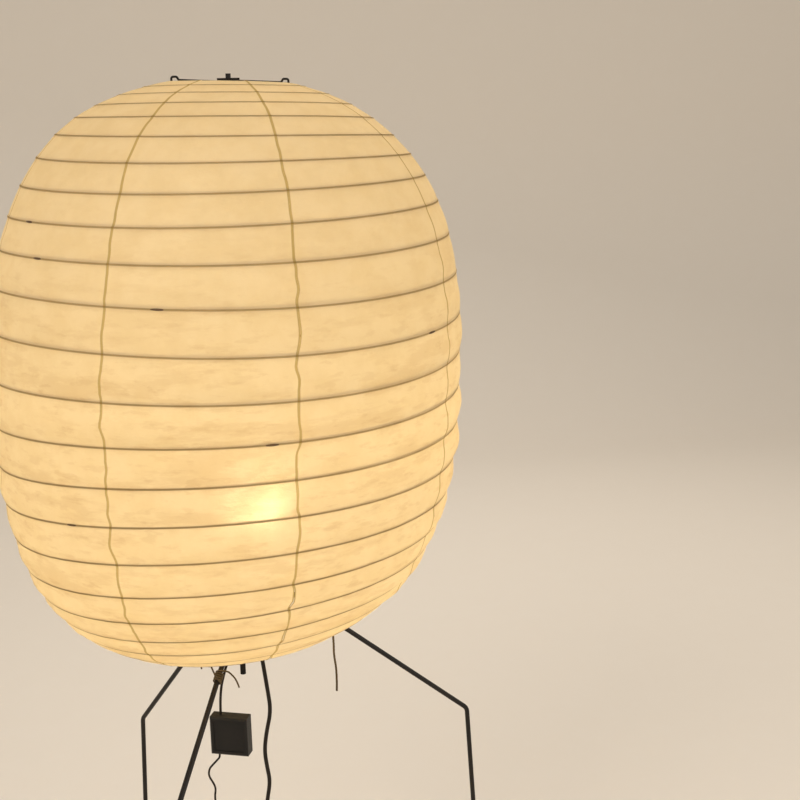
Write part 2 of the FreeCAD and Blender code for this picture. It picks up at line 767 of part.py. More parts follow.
tip_solid = cylinder("stem_tip_blank", "Sizes.stem_tip_diameter / 2", "Sizes.stem_tip_length",
                     on_axis(stem_x, 0, size("stem_foot_level")))
tip_bore = cylinder("stem_tip_bore", "Sizes.stem_diameter / 2 + Sizes.screw_fit",
                    "Sizes.stem_tip_length",
                    on_axis(stem_x, 0,
                            size("stem_foot_level") + size("stem_tip_floor") - size("seat_gap")))
cut("stem_tip", tip_solid, [tip_bore])

# ------------------------------------------------------------------ cross-bar, saddle and finial
hook = size("ring_wire") / 2.0 + size("crosswire_diameter") / 2.0 + size("crosswire_gap")


def crosswire_end(ring, outward):
    """One end of the cross-bar, from its tip: down outside the ring, under it, up inside it, and
    over a small arch to the level run."""
    level = crosswire_level + ring.z - top_middle.z
    inside = ring - outward * hook
    outside = ring + outward * hook
    arch = level + size("crosswire_arch_rise")
    arch_foot = size("crosswire_arch_width") + size("crosswire_arch_lean")
    return [
        outside + UP * size("crosswire_hook_tip"),
        outside - UP * hook,
        inside - UP * hook,
        V(inside.x, inside.y, arch),
        V(inside.x, inside.y, arch) - outward * size("crosswire_arch_width"),
        V(inside.x, inside.y, level) - outward * arch_foot,
    ]


detour = size("crosswire_detour")
start, half = size("crosswire_detour_start"), size("crosswire_detour_half")
crosswire_route = crosswire_end(top_left, V(-1, 0, 0))
for x, y in ((-start, 0.0), (-half, detour), (half, detour), (start, 0.0)):
    crosswire_route.append(on_axis(x, y, crosswire_level))
crosswire_route += crosswire_end(top_right, V(1, 0, 0))[::-1]
bend = size("crosswire_bend")
end_radii = [hook - 0.01, hook - 0.01, bend, bend, bend]
crosswire_edges = rounded_route(crosswire_route, end_radii + [bend] * 4 + end_radii[::-1])
feature("crosswire", sweep(crosswire_edges, size("crosswire_diameter")))
washer_blank = cylinder("washer_blank", "Sizes.washer_radius", "Sizes.washer_thickness",
                        on_axis(0, 0, washer_level))
washer_hole = cylinder("washer_hole", "Sizes.stud_diameter / 2 + Sizes.stud_fit",
                       "Sizes.washer_thickness * 3",
                       on_axis(0, 0, washer_level - size("washer_thickness")))
cut("stem_washer", washer_blank, [washer_hole])
saddle_blank = doc.addObject("Part::Box", "saddle_blank")
saddle_blank.setExpression("Length", "Sizes.saddle_length")
saddle_blank.setExpression("Width", "Sizes.saddle_width")
saddle_blank.setExpression("Height", "Sizes.saddle_thickness")
saddle_blank.Placement.Base = on_axis(-size("saddle_length") / 2.0, -size("saddle_width") / 2.0,
                                      finial_level - size("saddle_thickness"))
saddle_hole = cylinder("saddle_hole", "Sizes.stud_diameter / 2 + Sizes.stud_fit",
                       "Sizes.saddle_thickness * 3",
                       on_axis(0, 0, finial_level - 2.0 * size("saddle_thickness")))
cut("saddle", saddle_blank, [saddle_hole])
finial_blank = cylinder("finial_blank", "Sizes.finial_radius", "Sizes.finial_height",
                        on_axis(0, 0, finial_level + size("seat_gap")))
finial_bore = cylinder("finial_bore", "Sizes.stud_diameter / 2 + Sizes.screw_fit",
                       "Sizes.finial_height - Sizes.stud_short_of_finial + 4 * Sizes.seat_gap",
                       on_axis(0, 0, finial_level - size("seat_gap")))
cut("finial_nut", finial_blank, [finial_bore])

# ------------------------------------------------------------------ lampholder
base_level = size("hub_level") + size("hub_above") + size("seat_gap")
turned("holder_base", [
    ("Sizes.nipple_radius + Sizes.seat_gap", "0"),
    ("Sizes.holder_foot_radius", "0"),
    ("Sizes.holder_radius", "Sizes.holder_base_height"),
    ("Sizes.holder_radius - Sizes.holder_wall", "Sizes.holder_base_height"),
    ("Sizes.holder_foot_radius + Sizes.holder_floor_flare", "Sizes.holder_floor"),
    ("Sizes.nipple_radius + Sizes.seat_gap", "Sizes.holder_floor"),
], on_axis(0, 0, base_level))
nipple_foot = size("hub_level") + size("hub_above") - size("nipple_seat") + size("seat_gap")
nipple_top = (base_level + size("holder_floor") + size("nipple_nut_height")
              + size("nipple_above_nut"))
nipple_blank = doc.addObject("Part::Cylinder", "nipple_blank")
nipple_blank.setExpression("Radius", "Sizes.nipple_radius - Sizes.screw_fit")
nipple_blank.Height = nipple_top - nipple_foot
nipple_blank.Placement.Base = on_axis(0, 0, nipple_foot)
nipple_hole = cylinder("nipple_hole", "Sizes.nipple_bore", "Sizes.nipple_seat * 4",
                       on_axis(0, 0, nipple_foot - size("nipple_seat")))
cut("nipple", nipple_blank, [nipple_hole])
nut_blank = doc.addObject("Part::Prism", "nut_blank")
nut_blank.Polygon = 6
nut_blank.setExpression("Circumradius", "Sizes.nipple_nut_across / 1.7320508")
nut_blank.setExpression("Height", "Sizes.nipple_nut_height")
nut_level = base_level + size("holder_floor") + size("seat_gap")
nut_blank.Placement.Base = on_axis(0, 0, nut_level)
nut_hole = cylinder("nut_hole", "Sizes.nipple_radius", "Sizes.nipple_nut_height * 3",
                    on_axis(0, 0, nut_level - size("nipple_nut_height")))
cut("nipple_nut", nut_blank, [nut_hole])
plate_level = base_level + size("holder_base_height") + size("seat_gap")
cylinder("contact_plate", "Sizes.holder_radius", "Sizes.plate_thickness", on_axis(0, 0, plate_level))
shell_level = plate_level + size("plate_thickness") + size("seat_gap")
shell_blank = cylinder("shell_blank", "Sizes.holder_radius", "Sizes.holder_shell_height",
                       on_axis(0, 0, shell_level))
shell_bore = cylinder("shell_bore", "Sizes.holder_radius - Sizes.holder_wall",
                      "Sizes.holder_shell_height * 3",
                      on_axis(0, 0, shell_level - size("holder_shell_height")))
cut("holder_shell", shell_blank, [shell_bore])
sleeve_blank = cylinder("sleeve_blank", "Sizes.cap_radius + Sizes.cap_fit + Sizes.sleeve_wall",
                        "Sizes.sleeve_height", on_axis(0, 0, shell_level))
sleeve_bore = cylinder("sleeve_bore", "Sizes.cap_radius + Sizes.cap_fit",
                       "Sizes.sleeve_height * 3",
                       on_axis(0, 0, shell_level - size("sleeve_height")))
cut("thread_sleeve", sleeve_blank, [sleeve_bore])
tongue = doc.addObject("Part::Box", "contact_tongue")
tongue.Label = "contact_tongue"
tongue.setExpression("Length", "Sizes.tongue_length")
tongue.setExpression("Width", "Sizes.tongue_width")
tongue.setExpression("Height", "Sizes.tongue_thickness")
tongue.Placement.Base = on_axis(-size("tongue_length") / 2.0, -size("tongue_width") / 2.0, shell_level)

# ------------------------------------------------------------------ bulb
contact_level = shell_level + size("tongue_thickness") + size("contact_gap")
cylinder("bulb_contact", "Sizes.contact_radius", "Sizes.contact_height", on_axis(0, 0, contact_level))
insulator_level = contact_level + size("contact_height")
turned("bulb_insulator", [
    ("0", "0"),
    ("Sizes.contact_radius + Sizes.insulator_lip", "0"),
    ("Sizes.cap_radius - Sizes.cap_shell", "Sizes.insulator_height"),
    ("0", "Sizes.insulator_height"),
], on_axis(0, 0, insulator_level + size("seat_gap")))
cap_level = insulator_level + size("insulator_height") + 2.0 * size("seat_gap")
cap_blank = cylinder("cap_blank", "Sizes.cap_radius", "Sizes.cap_height", on_axis(0, 0, cap_level))
cap_bore = cylinder("cap_bore", "Sizes.cap_radius - Sizes.cap_shell", "Sizes.cap_height",
                    on_axis(0, 0, cap_level + size("cap_shell")))
cut("bulb_cap", cap_blank, [cap_bore])
globe_centre = on_axis(0, 0, cap_level + size("bulb_centre_above_cap"))
globe = doc.addObject("Part::Sphere", "globe")
globe.setExpression("Radius", "Sizes.bulb_radius")
globe.Placement.Base = globe_centre
neck = cylinder("neck", "Sizes.bulb_neck_radius",
                "Sizes.bulb_centre_above_cap - Sizes.bulb_neck_sink",
                on_axis(0, 0, cap_level + size("bulb_neck_sink")))
glass_blank = doc.addObject("Part::Fuse", "glass_blank")
glass_blank.Base = globe
glass_blank.Tool = neck
hollow_globe = doc.addObject("Part::Sphere", "hollow_globe")
hollow_globe.setExpression("Radius", "Sizes.bulb_radius - Sizes.bulb_wall")
hollow_globe.Placement.Base = globe_centre
hollow_neck = cylinder("hollow_neck", "Sizes.bulb_neck_radius - Sizes.bulb_wall",
                       "Sizes.bulb_centre_above_cap", on_axis(0, 0, cap_level))
cut("bulb_glass", glass_blank, [hollow_globe, hollow_neck])

# ------------------------------------------------------------------ mains lead
bush_top = on_axis(0, 0, size("hub_level") - size("hub_below"))
turned("lead_bush", [
    ("Sizes.lead_diameter / 2", "0"),
    ("Sizes.lead_bush_radius", "0"),
    ("Sizes.lead_bush_radius", "-Sizes.lead_bush_collar"),
    ("Sizes.lead_bush_end_radius", "-Sizes.lead_bush_length"),
    ("Sizes.lead_diameter / 2", "-Sizes.lead_bush_length"),
], bush_top - UP * size("seat_gap"))


def coil_point(turn):
    """The put-away turns of the lead: a standing helix, walked from its foot."""
    angle = 180.0 - 360.0 * turn
    return (on_axis(size("coil_x"), size("coil_y"), size("coil_level") + size("coil_pitch") * turn)
            + azimuth(angle) * size("coil_radius"))


coil_turns = int(size("coil_turns"))
coil_stops = [i / 4.0 for i in range(4 * coil_turns + 1)]
coil_ways = [way_along(coil_point, stop) for stop in coil_stops]
coil_points = [coil_point(stop) for stop in coil_stops]
coil_in = coil_points[0] - coil_ways[0] * size("lead_diameter")
coil_out = coil_points[-1] + coil_ways[-1] * size("lead_diameter")
coil_edges = ([Part.LineSegment(coil_in, coil_points[0]).toShape()]
              + wound(coil_points, coil_ways)
              + [Part.LineSegment(coil_points[-1], coil_out).toShape()])
coil_length = sum(edge.Length for edge in coil_edges)
print("mains_coil: least gap between turns %.2f mm, length %.0f mm"
      % (least_gap(coil_point, 0.0, coil_turns, 1.0, size("lead_diameter")), coil_length))
feature("mains_coil", sweep(coil_edges, size("lead_diameter")))
lead_route = [on_axis(x, y, z) for x, y, z in (
    (0, 0, 652), (0, 0, 600), (3.5, 0, 573), (7, 0, 545), (10.5, 0, 514), (13.5, 0, 485),
    (6.5, 0, 456), (3.2, 0, 432), (5.5, 0, 410), (8.5, 0, 390), (3, 0, 362), (0, 0, 325),
    (-2, 3, 280), (-2, 5, 235), (0, 6, 190), (3, 8, 145), (6, 14, 100), (10, 30, 58),
    (15, 58, 26), (19, 92, 8))]
lead_route += [coil_in - coil_ways[0] * 36.0, coil_in]
free_cord("mains_lead", lead_route, size("lead_diameter"))
plug_x = size("coil_x") - size("coil_radius")
plug_start = on_axis(plug_x, size("coil_y") + 128.0, size("plug_thickness") / 2.0 + 0.3)
tail_route = [coil_out, coil_out + coil_ways[-1] * 26.0,
              on_axis(plug_x, size("coil_y") + 62.0, 28.0),
              on_axis(plug_x + 1.0, size("coil_y") + 92.0, size("plug_thickness") / 2.0 + 3.0),
              plug_start]
tail_way = (tail_route[-1] - tail_route[-2]).normalize()
free_cord("plug_lead", tail_route, size("lead_diameter"))
turned("plug_boot", [
    ("0", "0"),
    ("Sizes.plug_boot_end_radius", "0"),
    ("Sizes.plug_boot_radius", "Sizes.plug_boot_length"),
    ("0", "Sizes.plug_boot_length"),
], plug_start + tail_way * size("seat_gap"), tail_way)
plug_foot = plug_start + V(0, 1, 0) * (size("plug_boot_length") + size("plug_boot_gap"))
plug = doc.addObject("Part::Box", "plug_body")
plug.Label = "plug_body"
plug.setExpression("Length", "Sizes.plug_width")
plug.setExpression("Width", "Sizes.plug_length")
plug.setExpression("Height", "Sizes.plug_thickness")
plug.Placement.Base = plug_foot - V(size("plug_width") / 2.0, 0, size("plug_thickness") / 2.0)
pins = []
for side in (-1, 1):
    pin_base = plug_foot + V(side * size("pin_spacing") / 2.0,
                             size("plug_length") + size("seat_gap"), 0)
    pins.append(cylinder("pin_%d" % (side + 2), "Sizes.pin_diameter / 2", "Sizes.pin_length",
                         pin_base, V(0, 1, 0)))
plug_pins = doc.addObject("Part::Compound", "plug_pins")
plug_pins.Links = pins
tie_height = size("coil_pitch") * coil_turns + size("lead_diameter") + 2.0 * size("coil_tie_slack")
tie_depth = size("lead_diameter") + 2.0 * size("coil_tie_slack")
tie_centre = on_axis(size("coil_x") + size("coil_radius"), size("coil_y"), 0)
band = size("coil_tie_thickness")
tie_outer = doc.addObject("Part::Box", "tie_outer")
tie_outer.Length = tie_depth + 2.0 * band
tie_outer.setExpression("Width", "Sizes.coil_tie_width")
tie_outer.Height = tie_height + 2.0 * band
tie_foot = size("coil_level") - size("lead_diameter") / 2.0 - size("coil_tie_slack")
tie_outer.Placement.Base = tie_centre + V(-tie_depth / 2.0 - band, -size("coil_tie_width") / 2.0,
                                          tie_foot - band)
tie_inner = doc.addObject("Part::Box", "tie_inner")
tie_inner.Length = tie_depth
tie_inner.setExpression("Width", "Sizes.coil_tie_width * 2")
tie_inner.Height = tie_height
tie_inner.Placement.Base = tie_centre + V(-tie_depth / 2.0, -size("coil_tie_width"), tie_foot)
cut("coil_tie", tie_outer, [tie_inner])

# ------------------------------------------------------------------ string ties on the legs
def make_tie(name, tail_points):
    """String wound round a leg, its span to a knot on the bottom ring, and its hanging tail."""
    leg = LEGS[name]
    string = leg["string"]
    way = leg_ways[name]
    aside = azimuth(leg["azimuth"] + 90.0)
    above = aside.cross(way) * -1.0
    if above.z < 0:
        above = above * -1.0
    middle = HUB + way * (leg["tie_out"] / math.hypot(way.x, way.y))
    radius = size("leg_diameter") / 2.0 + string / 2.0 + size("tie_gap")
    start, last = size("tie_start"), leg["tie_end"]
    half = (start + last) / 2.0

    def loop_point(turn):
        angle = 2.0 * math.pi * turn
        return (middle + way * (leg["tie_climb"] * (string + size("tie_loop_gap")) * (turn - half))
                + above * (radius * math.cos(angle)) + aside * (radius * math.sin(angle)))

    quarters = round(4 * (last - start))
    stops = [start + (last - start) * i / quarters for i in range(quarters + 1)]
    ways = [way_along(loop_point, stop) for stop in stops]
    points = [loop_point(stop) for stop in stops]
    first_end = points[0] - ways[0] * string
    last_end = points[-1] + ways[-1] * string
    edges = ([Part.LineSegment(first_end, points[0]).toShape()] + wound(points, ways)
             + [Part.LineSegment(points[-1], last_end).toShape()])
    print("tie_%s: least gap between turns %.2f mm"
          % (name, least_gap(loop_point, start, last, 1.0, string)))
    feature("tie_" + name, sweep(edges, string))
    # the knot stands on the bottom ring, outward of the leg
    knot_centre, _, along_ring = knots[name]
    knot_blank = doc.addObject("Part::Sphere", "knot_blank_" + name)
    knot_blank.setExpression("Radius", "Sizes.knot_radius")
    knot_blank.Placement = FreeCAD.Placement(knot_centre, FreeCAD.Rotation(UP, along_ring))
    knot_bore = cylinder("knot_bore_" + name, "Sizes.ring_wire / 2 + Sizes.knot_slack",
                         "Sizes.knot_radius * 4",
                         knot_centre - along_ring * (2.0 * size("knot_radius")), along_ring)
    knot = cut("knot_" + name, knot_blank, [knot_bore])
    # the span leaves the first end backwards and rises to the knot, a little slack
    leaving = ways[0] * -1.0
    reach = (knot_centre - first_end).Length
    lift = first_end + leaving * (reach * size("span_lift"))
    slack = (lift + knot_centre) * 0.5 - UP * (reach * size("span_sag"))
    near_knot = (knot_centre
                 - (knot_centre - slack).normalize() * (size("knot_radius") + size("seat_gap")))
    span = free_cord("span_" + name, [first_end, lift, slack, near_knot], string)
    tail = free_cord("tail_" + name, [last_end, last_end + ways[-1] * 8.0] + tail_points, string)
    return knot, span, tail


tied = [
    make_tie("right", [on_axis(95.5, 19.0, 560.0), on_axis(95.0, 17.0, 545.0),
                       on_axis(98.0, 16.0, 524.0), on_axis(97.0, 15.0, 498.0)]),
    make_tie("rear", [on_axis(-70.5, 72.5, 540.0), on_axis(-72.5, 72.5, 529.0),
                      on_axis(-71.0, 72.0, 516.0)]),
    make_tie("front", [on_axis(-30.0, -109.0, 584.0), on_axis(-25.0, -107.0, 576.0),
                       on_axis(-22.5, -105.0, 566.0)]),
]
tie_spans = doc.addObject("Part::Compound", "tie_spans")
tie_spans.Links = [knot for knot, span, tail in tied] + [span for knot, span, tail in tied]
tie_tails = doc.addObject("Part::Compound", "tie_tails")
tie_tails.Links = [tail for knot, span, tail in tied]

# ------------------------------------------------------------------ pull switch on its thin lead
box_centre = on_axis(size("box_x"), size("box_y"), size("box_level"))
turn_rad = math.radians(size("box_turn"))
box_right = V(math.cos(turn_rad), -math.sin(turn_rad), 0)
box_front_way = V(-math.sin(turn_rad), -math.cos(turn_rad), 0)
box_turned = FreeCAD.Rotation(V(0, 0, 1), -size("box_turn"))


def box_point(right, front, up):
    """A point of the switch box from its centre: to the right, to the front, up."""
    return box_centre + box_right * right + box_front_way * front + UP * up


def box_block(label, width, height, depth, right, front, up):
    """A block in the box's own directions, from its left, front and lower corner."""
    block = doc.addObject("Part::Box", label)
    block.setExpression("Length", width)
    block.setExpression("Width", depth)
    block.setExpression("Height", height)
    block.Placement = FreeCAD.Placement(box_point(right, front, up), box_turned)
    return block


half_w, half_h, half_d = size("box_width") / 2.0, size("box_height") / 2.0, size("box_depth") / 2.0
wall = size("box_wall")
seam_front = half_d - size("box_lid_depth")
lid_blank = box_block("lid_blank", "Sizes.box_width", "Sizes.box_height",
                      "Sizes.box_lid_depth - Sizes.seat_gap", -half_w, half_d, -half_h)
lid_round = doc.addObject("Part::Chamfer", "lid_round")
lid_round.Base = lid_blank
doc.recompute()
front_edges = []
for index, edge in enumerate(lid_blank.Shape.Edges, start=1):
    away = edge.CenterOfMass - box_centre
    if away.dot(box_front_way) > half_d - 0.1:
        front_edges.append((index, size("box_edge"), size("box_edge")))
lid_round.Edges = front_edges
lid_hollow = box_block("lid_hollow", "Sizes.box_width - 2 * Sizes.box_wall",
                       "Sizes.box_height - 2 * Sizes.box_wall", "Sizes.box_lid_depth",
                       -half_w + wall, half_d - wall, -half_h + wall)
inset = size("box_panel_inset")
lid_sink = box_block("lid_sink", "Sizes.box_width - 2 * Sizes.box_panel_inset",
                     "Sizes.box_height - 2 * Sizes.box_panel_inset", "Sizes.box_panel_sink + 5",
                     -half_w + inset, half_d + 5.0, -half_h + inset)
cut("box_front", lid_round, [lid_hollow, lid_sink])
back_blank = box_block("back_blank", "Sizes.box_width", "Sizes.box_height",
                       "Sizes.box_depth - Sizes.box_lid_depth", -half_w, seam_front, -half_h)
back_hollow = box_block("back_hollow", "Sizes.box_width - 2 * Sizes.box_wall",
                        "Sizes.box_height - 2 * Sizes.box_wall",
                        "Sizes.box_depth - Sizes.box_lid_depth - Sizes.box_wall + 1",
                        -half_w + wall, seam_front + 1.0, -half_h + wall)
mid_back = (seam_front - half_d) / 2.0
lead_x = -half_w + size("thin_lead_inset")
lead_port = cylinder("lead_port", "Sizes.thin_lead_diameter / 2 + Sizes.box_port_fit",
                     "Sizes.box_wall * 3", box_point(lead_x, mid_back, half_h - 2.0 * wall))
pull_x = -half_w + size("pull_inset")
pull_port = cylinder("pull_port", "Sizes.pull_rod_diameter / 2 + Sizes.pull_rod_fit",
                     "Sizes.box_wall * 3", box_point(pull_x, mid_back, -half_h - wall))
post_holes = []
box_screw_parts = []
post_x = half_w - size("box_screw_inset")
post_height = half_h - size("box_screw_inset")
for number, up in enumerate((post_height, -post_height), start=1):
    post_holes.append(cylinder("post_hole_%d" % number, "Sizes.box_screw_radius + Sizes.box_port_fit",
                               "Sizes.box_wall * 3", box_point(post_x, -half_d - wall, up),
                               box_front_way))
    shaft = cylinder("box_shaft_%d" % number, "Sizes.box_screw_radius",
                     "Sizes.box_depth - Sizes.box_wall * 2", box_point(post_x, -half_d, up),
                     box_front_way)
    head_foot = -half_d - size("box_screw_head_height") - size("seat_gap")
    knob = cylinder("box_head_%d" % number, "Sizes.box_screw_head_radius",
                    "Sizes.box_screw_head_height + 2 * Sizes.seat_gap",
                    box_point(post_x, head_foot - size("seat_gap"), up), box_front_way)
    screw = doc.addObject("Part::Fuse", "box_screw_%d" % number)
    screw.Base = shaft
    screw.Tool = knob
    box_screw_parts.append(screw)
cut("box_back", back_blank, [back_hollow, lead_port, pull_port] + post_holes)
box_screws = doc.addObject("Part::Compound", "box_screws")
box_screws.Links = box_screw_parts
# pull rod: a flanged rod through the floor of the box, pushed up by its spring
rod_top = -half_h + wall + size("pull_lift")
rod = cylinder("rod_body", "Sizes.pull_rod_diameter / 2",
               "Sizes.box_wall + Sizes.pull_lift + Sizes.pull_stub",
               box_point(pull_x, mid_back, -half_h - size("pull_stub")))
flange = cylinder("rod_flange", "Sizes.pull_flange_radius", "Sizes.pull_flange_thickness",
                  box_point(pull_x, mid_back, rod_top))
pull_rod = doc.addObject("Part::Fuse", "pull_rod")
pull_rod.Base = rod
pull_rod.Tool = flange
box_block("switch_block", "Sizes.block_width", "Sizes.block_height", "Sizes.block_depth",
          -half_w + wall + size("block_side_gap"), seam_front + size("block_front_gap"),
          rod_top + size("pull_flange_thickness") + size("seat_gap"))
spring_low = -half_h + wall + size("spring_wire") / 2.0 + size("spring_end_gap")
spring_high = rod_top - size("spring_wire") / 2.0 - size("spring_end_gap")


def spring_point(turn):
    """The return spring: one steady helix between the floor and the flange."""
    share = turn / size("spring_turns")
    angle = 360.0 * turn
    return (box_point(pull_x, mid_back, spring_low + (spring_high - spring_low) * share)
            + azimuth(angle) * size("spring_radius"))


spring_turns = int(size("spring_turns"))
spring_stops = [i / 4.0 for i in range(4 * spring_turns + 1)]
feature("return_spring", sweep(wound([spring_point(stop) for stop in spring_stops],
                                     [way_along(spring_point, stop) for stop in spring_stops]),
                               size("spring_wire")))
print("return_spring: least gap between turns %.2f mm"
      % least_gap(spring_point, 0.0, spring_turns, 1.0, size("spring_wire")))
lead_top = box_point(lead_x, mid_back, half_h - wall - 2.0)
thin_route = [on_axis(-7.0, -11.5, size("hub_level") - size("hub_below") - size("seat_gap")),
              on_axis(-8.5, -15.0, 618.0), on_axis(-17.0, -32.0, 606.0),
              on_axis(-29.0, -60.0, 594.0), on_axis(-38.0, -84.0, 580.0),
              box_point(lead_x, mid_back, half_h + 24.0), lead_top]
free_cord("switch_lead", thin_route, size("thin_lead_diameter"))
pull_start = box_point(pull_x, mid_back, -half_h - size("pull_stub") - size("seat_gap"))
pull_route = [pull_start, pull_start - UP * size("pull_cord_drop")]
for x, z in ((-52.0, 470.0), (-57.5, 464.5), (-62.5, 459.0), (-63.5, 450.0), (-58.5, 441.0),
             (-56.0, 433.0), (-58.0, 423.0), (-57.0, 411.0)):
    pull_route.append(on_axis(x, pull_start.y - HUB_AXIS.y, z))
free_cord("pull_cord", pull_route, size("pull_cord_diameter"))
bead_way = (pull_route[-1] - pull_route[-2]).normalize()
bead = doc.addObject("Part::Sphere", "pull_bead")
bead.Label = "pull_bead"
bead.setExpression("Radius", "Sizes.pull_bead_radius")
bead.Placement.Base = pull_route[-1] + bead_way * size("pull_bead_radius")

# ------------------------------------------------------------------ check and write
doc.recompute()
SUB_PARTS = [piece for piece in doc.Objects
             if piece.isDerivedFrom("Part::Feature") and not piece.InList]
problems = [piece.Label for piece in doc.Objects
            if "Invalid" in piece.State or "Error" in piece.State]
for piece in SUB_PARTS:
    if piece.Shape.isNull() or not piece.Shape.isValid():
        problems.append(piece.Label)
if problems:
    raise ValueError("these did not build: " + ", ".join(sorted(set(problems))))
os.makedirs("parts", exist_ok=True)
for piece in SUB_PARTS:
    piece.Shape.exportStep(os.path.join("parts", piece.Label + ".step"))
print("%d sub-parts, hub axis at X %.2f, Y %.2f" % (len(SUB_PARTS), HUB_AXIS.x, HUB_AXIS.y))
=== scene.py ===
"""Looks of a lit paper lantern floor lamp: a tall paper shade wound on one bamboo rib, three bent
black legs, a mains lead, string ties and a small pull switch on its own thin lead.

Metres, +Z up, floor at Z = 0, camera side -Y. The shade's surface, the rib's climb and the
cords' routes repeat the solids' own sizes, measured from the hub's axis.
"""
import bpy
import math
import numpy as np
from mathutils import Matrix, Vector


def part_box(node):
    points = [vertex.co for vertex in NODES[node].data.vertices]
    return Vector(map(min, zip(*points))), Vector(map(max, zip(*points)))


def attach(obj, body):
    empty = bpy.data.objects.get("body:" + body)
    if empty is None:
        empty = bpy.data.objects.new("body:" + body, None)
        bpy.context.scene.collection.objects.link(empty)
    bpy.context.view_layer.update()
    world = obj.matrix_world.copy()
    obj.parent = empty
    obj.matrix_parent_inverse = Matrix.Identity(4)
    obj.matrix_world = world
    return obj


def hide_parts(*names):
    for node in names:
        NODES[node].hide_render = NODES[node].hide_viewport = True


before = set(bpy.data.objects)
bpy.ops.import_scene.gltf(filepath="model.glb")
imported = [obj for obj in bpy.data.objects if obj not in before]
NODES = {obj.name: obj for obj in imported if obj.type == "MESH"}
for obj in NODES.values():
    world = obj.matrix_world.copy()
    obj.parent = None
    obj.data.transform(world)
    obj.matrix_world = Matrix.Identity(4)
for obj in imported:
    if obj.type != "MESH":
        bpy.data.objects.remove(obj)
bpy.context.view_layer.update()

# ------------------------------------------------------------------ places and sizes
MM = 0.001
hub_low, hub_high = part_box("hub")
AXIS = np.array([(hub_low[0] + hub_high[0]) / 2, (hub_low[1] + hub_high[1]) / 2, 0.0])
HUB_LEVEL = 672.3 * MM

SHADE_RADIUS = 265.3 * MM
SHADE_UPPER = 321.5 * MM
SHADE_LOWER = 330.6 * MM
UPPER_FULLNESS = 2.62
LOWER_FULLNESS = 2.81
CROWN_RISE = 3.9 * MM
CROWN_REACH = 48.3 * MM
SHADE_FOOT = 588.4 * MM
TOP_RING = 68.2 * MM
BOTTOM_RING = 130 * MM
PAPER_THICK = 0.4
RING_WIRE_RADIUS = 1.5
RING_GAP = 0.3
# the shade's lean: how far its middle stands aside and how its turns tip, by share of its height
SWAY_SHARES = [0.0, 0.12, 0.5, 1.0]
SWAYS = np.array([-27.5, -21.6, -13.7, 2.2]) * MM
SKEW_SHARES = [0.0, 0.25, 0.6, 0.93, 0.985, 1.0]
SKEW_SLOPES = [0.046, 0.032, -0.025, -0.048, -0.035, -0.035]

RIB_TURNS = 22
RIB_START = 105.0
RIB_LEAD_IN = 0.02
# how the rib crowds towards the two rings, and its waver: size, turns of it in one turn, phase
RIB_CROWDING = (0.2436, 0.0589, 0.0494)
RIB_WAVERS = ((3.12 * MM, 0.826, -1.727), (4.27 * MM, 2.063, -2.258))
PAPER_MARGIN = 6 * MM
GORES = 8
FIRST_SEAM = -75.0

BULB_RADIUS = 28 * MM
BULB_CENTRE = AXIS + np.array([0, 0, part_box("bulb_glass")[1][2] - BULB_RADIUS])

# camera: place and attitude fitted to the photo's shade outline and rib lines
CAMERA_PLACE = AXIS + np.array([-5.0, -1511.2, 1194.2]) * MM
CAMERA_FORWARD = Vector((0.12134, 0.97045, -0.20859))
CAMERA_UP = Vector((0.05045, 0.20385, 0.97770))
CAMERA_FOCAL_PIXELS = 1307.0
IMAGE_PIXELS = 800
SENSOR_MM = 36.0


def make_camera():
    """The photo's viewpoint: above the shade's middle, looking down and a little to the right."""
    data = bpy.data.cameras.new("camera")
    data.sensor_width = SENSOR_MM
    data.lens = CAMERA_FOCAL_PIXELS / IMAGE_PIXELS * SENSOR_MM
    data.clip_end = 50.0
    camera = bpy.data.objects.new("camera", data)
    forward = CAMERA_FORWARD.normalized()
    right = forward.cross(CAMERA_UP).normalized()
    up = right.cross(forward)
    turn = Matrix((right, up, -forward)).transposed()
    camera.matrix_world = Matrix.Translation(Vector(CAMERA_PLACE)) @ turn.to_4x4()
    bpy.context.scene.collection.objects.link(camera)
    bpy.context.scene.camera = camera


# ------------------------------------------------------------------ shader helpers
def socket(group, way, name, kind, value=None):
    """One named input or output of a shader group."""
    made = group.interface.new_socket(name=name, in_out=way, socket_type=kind)
    if value is not None:
        made.default_value = value
    return made


def link(tree, source, target):
    tree.links.new(source, target)


def math_node(tree, operation, first, second=0.0, clamp=False):
    """A Math node on two values or sockets."""
    node = tree.nodes.new("ShaderNodeMath")
    node.operation = operation
    node.use_clamp = clamp
    for index, value in enumerate((first, second)):
        if isinstance(value, (int, float)):
            node.inputs[index].default_value = value
        else:
            link(tree, value, node.inputs[index])
    return node.outputs[0]


def ramp_node(tree, value, low, high, out_low=0.0, out_high=1.0):
    """A smooth step of a value between two limits."""
    node = tree.nodes.new("ShaderNodeMapRange")
    node.interpolation_type = "SMOOTHSTEP"
    for name, number in (("From Min", low), ("From Max", high), ("To Min", out_low),
                         ("To Max", out_high)):
        node.inputs[name].default_value = number
    link(tree, value, node.inputs["Value"])
    return node.outputs[0]


def mix_colour(tree, amount, first, second):
    """A colour mix; amount and colours are values or sockets."""
    node = tree.nodes.new("ShaderNodeMix")
    node.data_type = "RGBA"
    for name, value in ((0, amount), (6, first), (7, second)):
        if isinstance(value, (int, float)):
            node.inputs[name].default_value = value
        elif isinstance(value, tuple):
            node.inputs[name].default_value = (*value, 1.0)
        else:
            link(tree, value, node.inputs[name])
    return node.outputs[2]


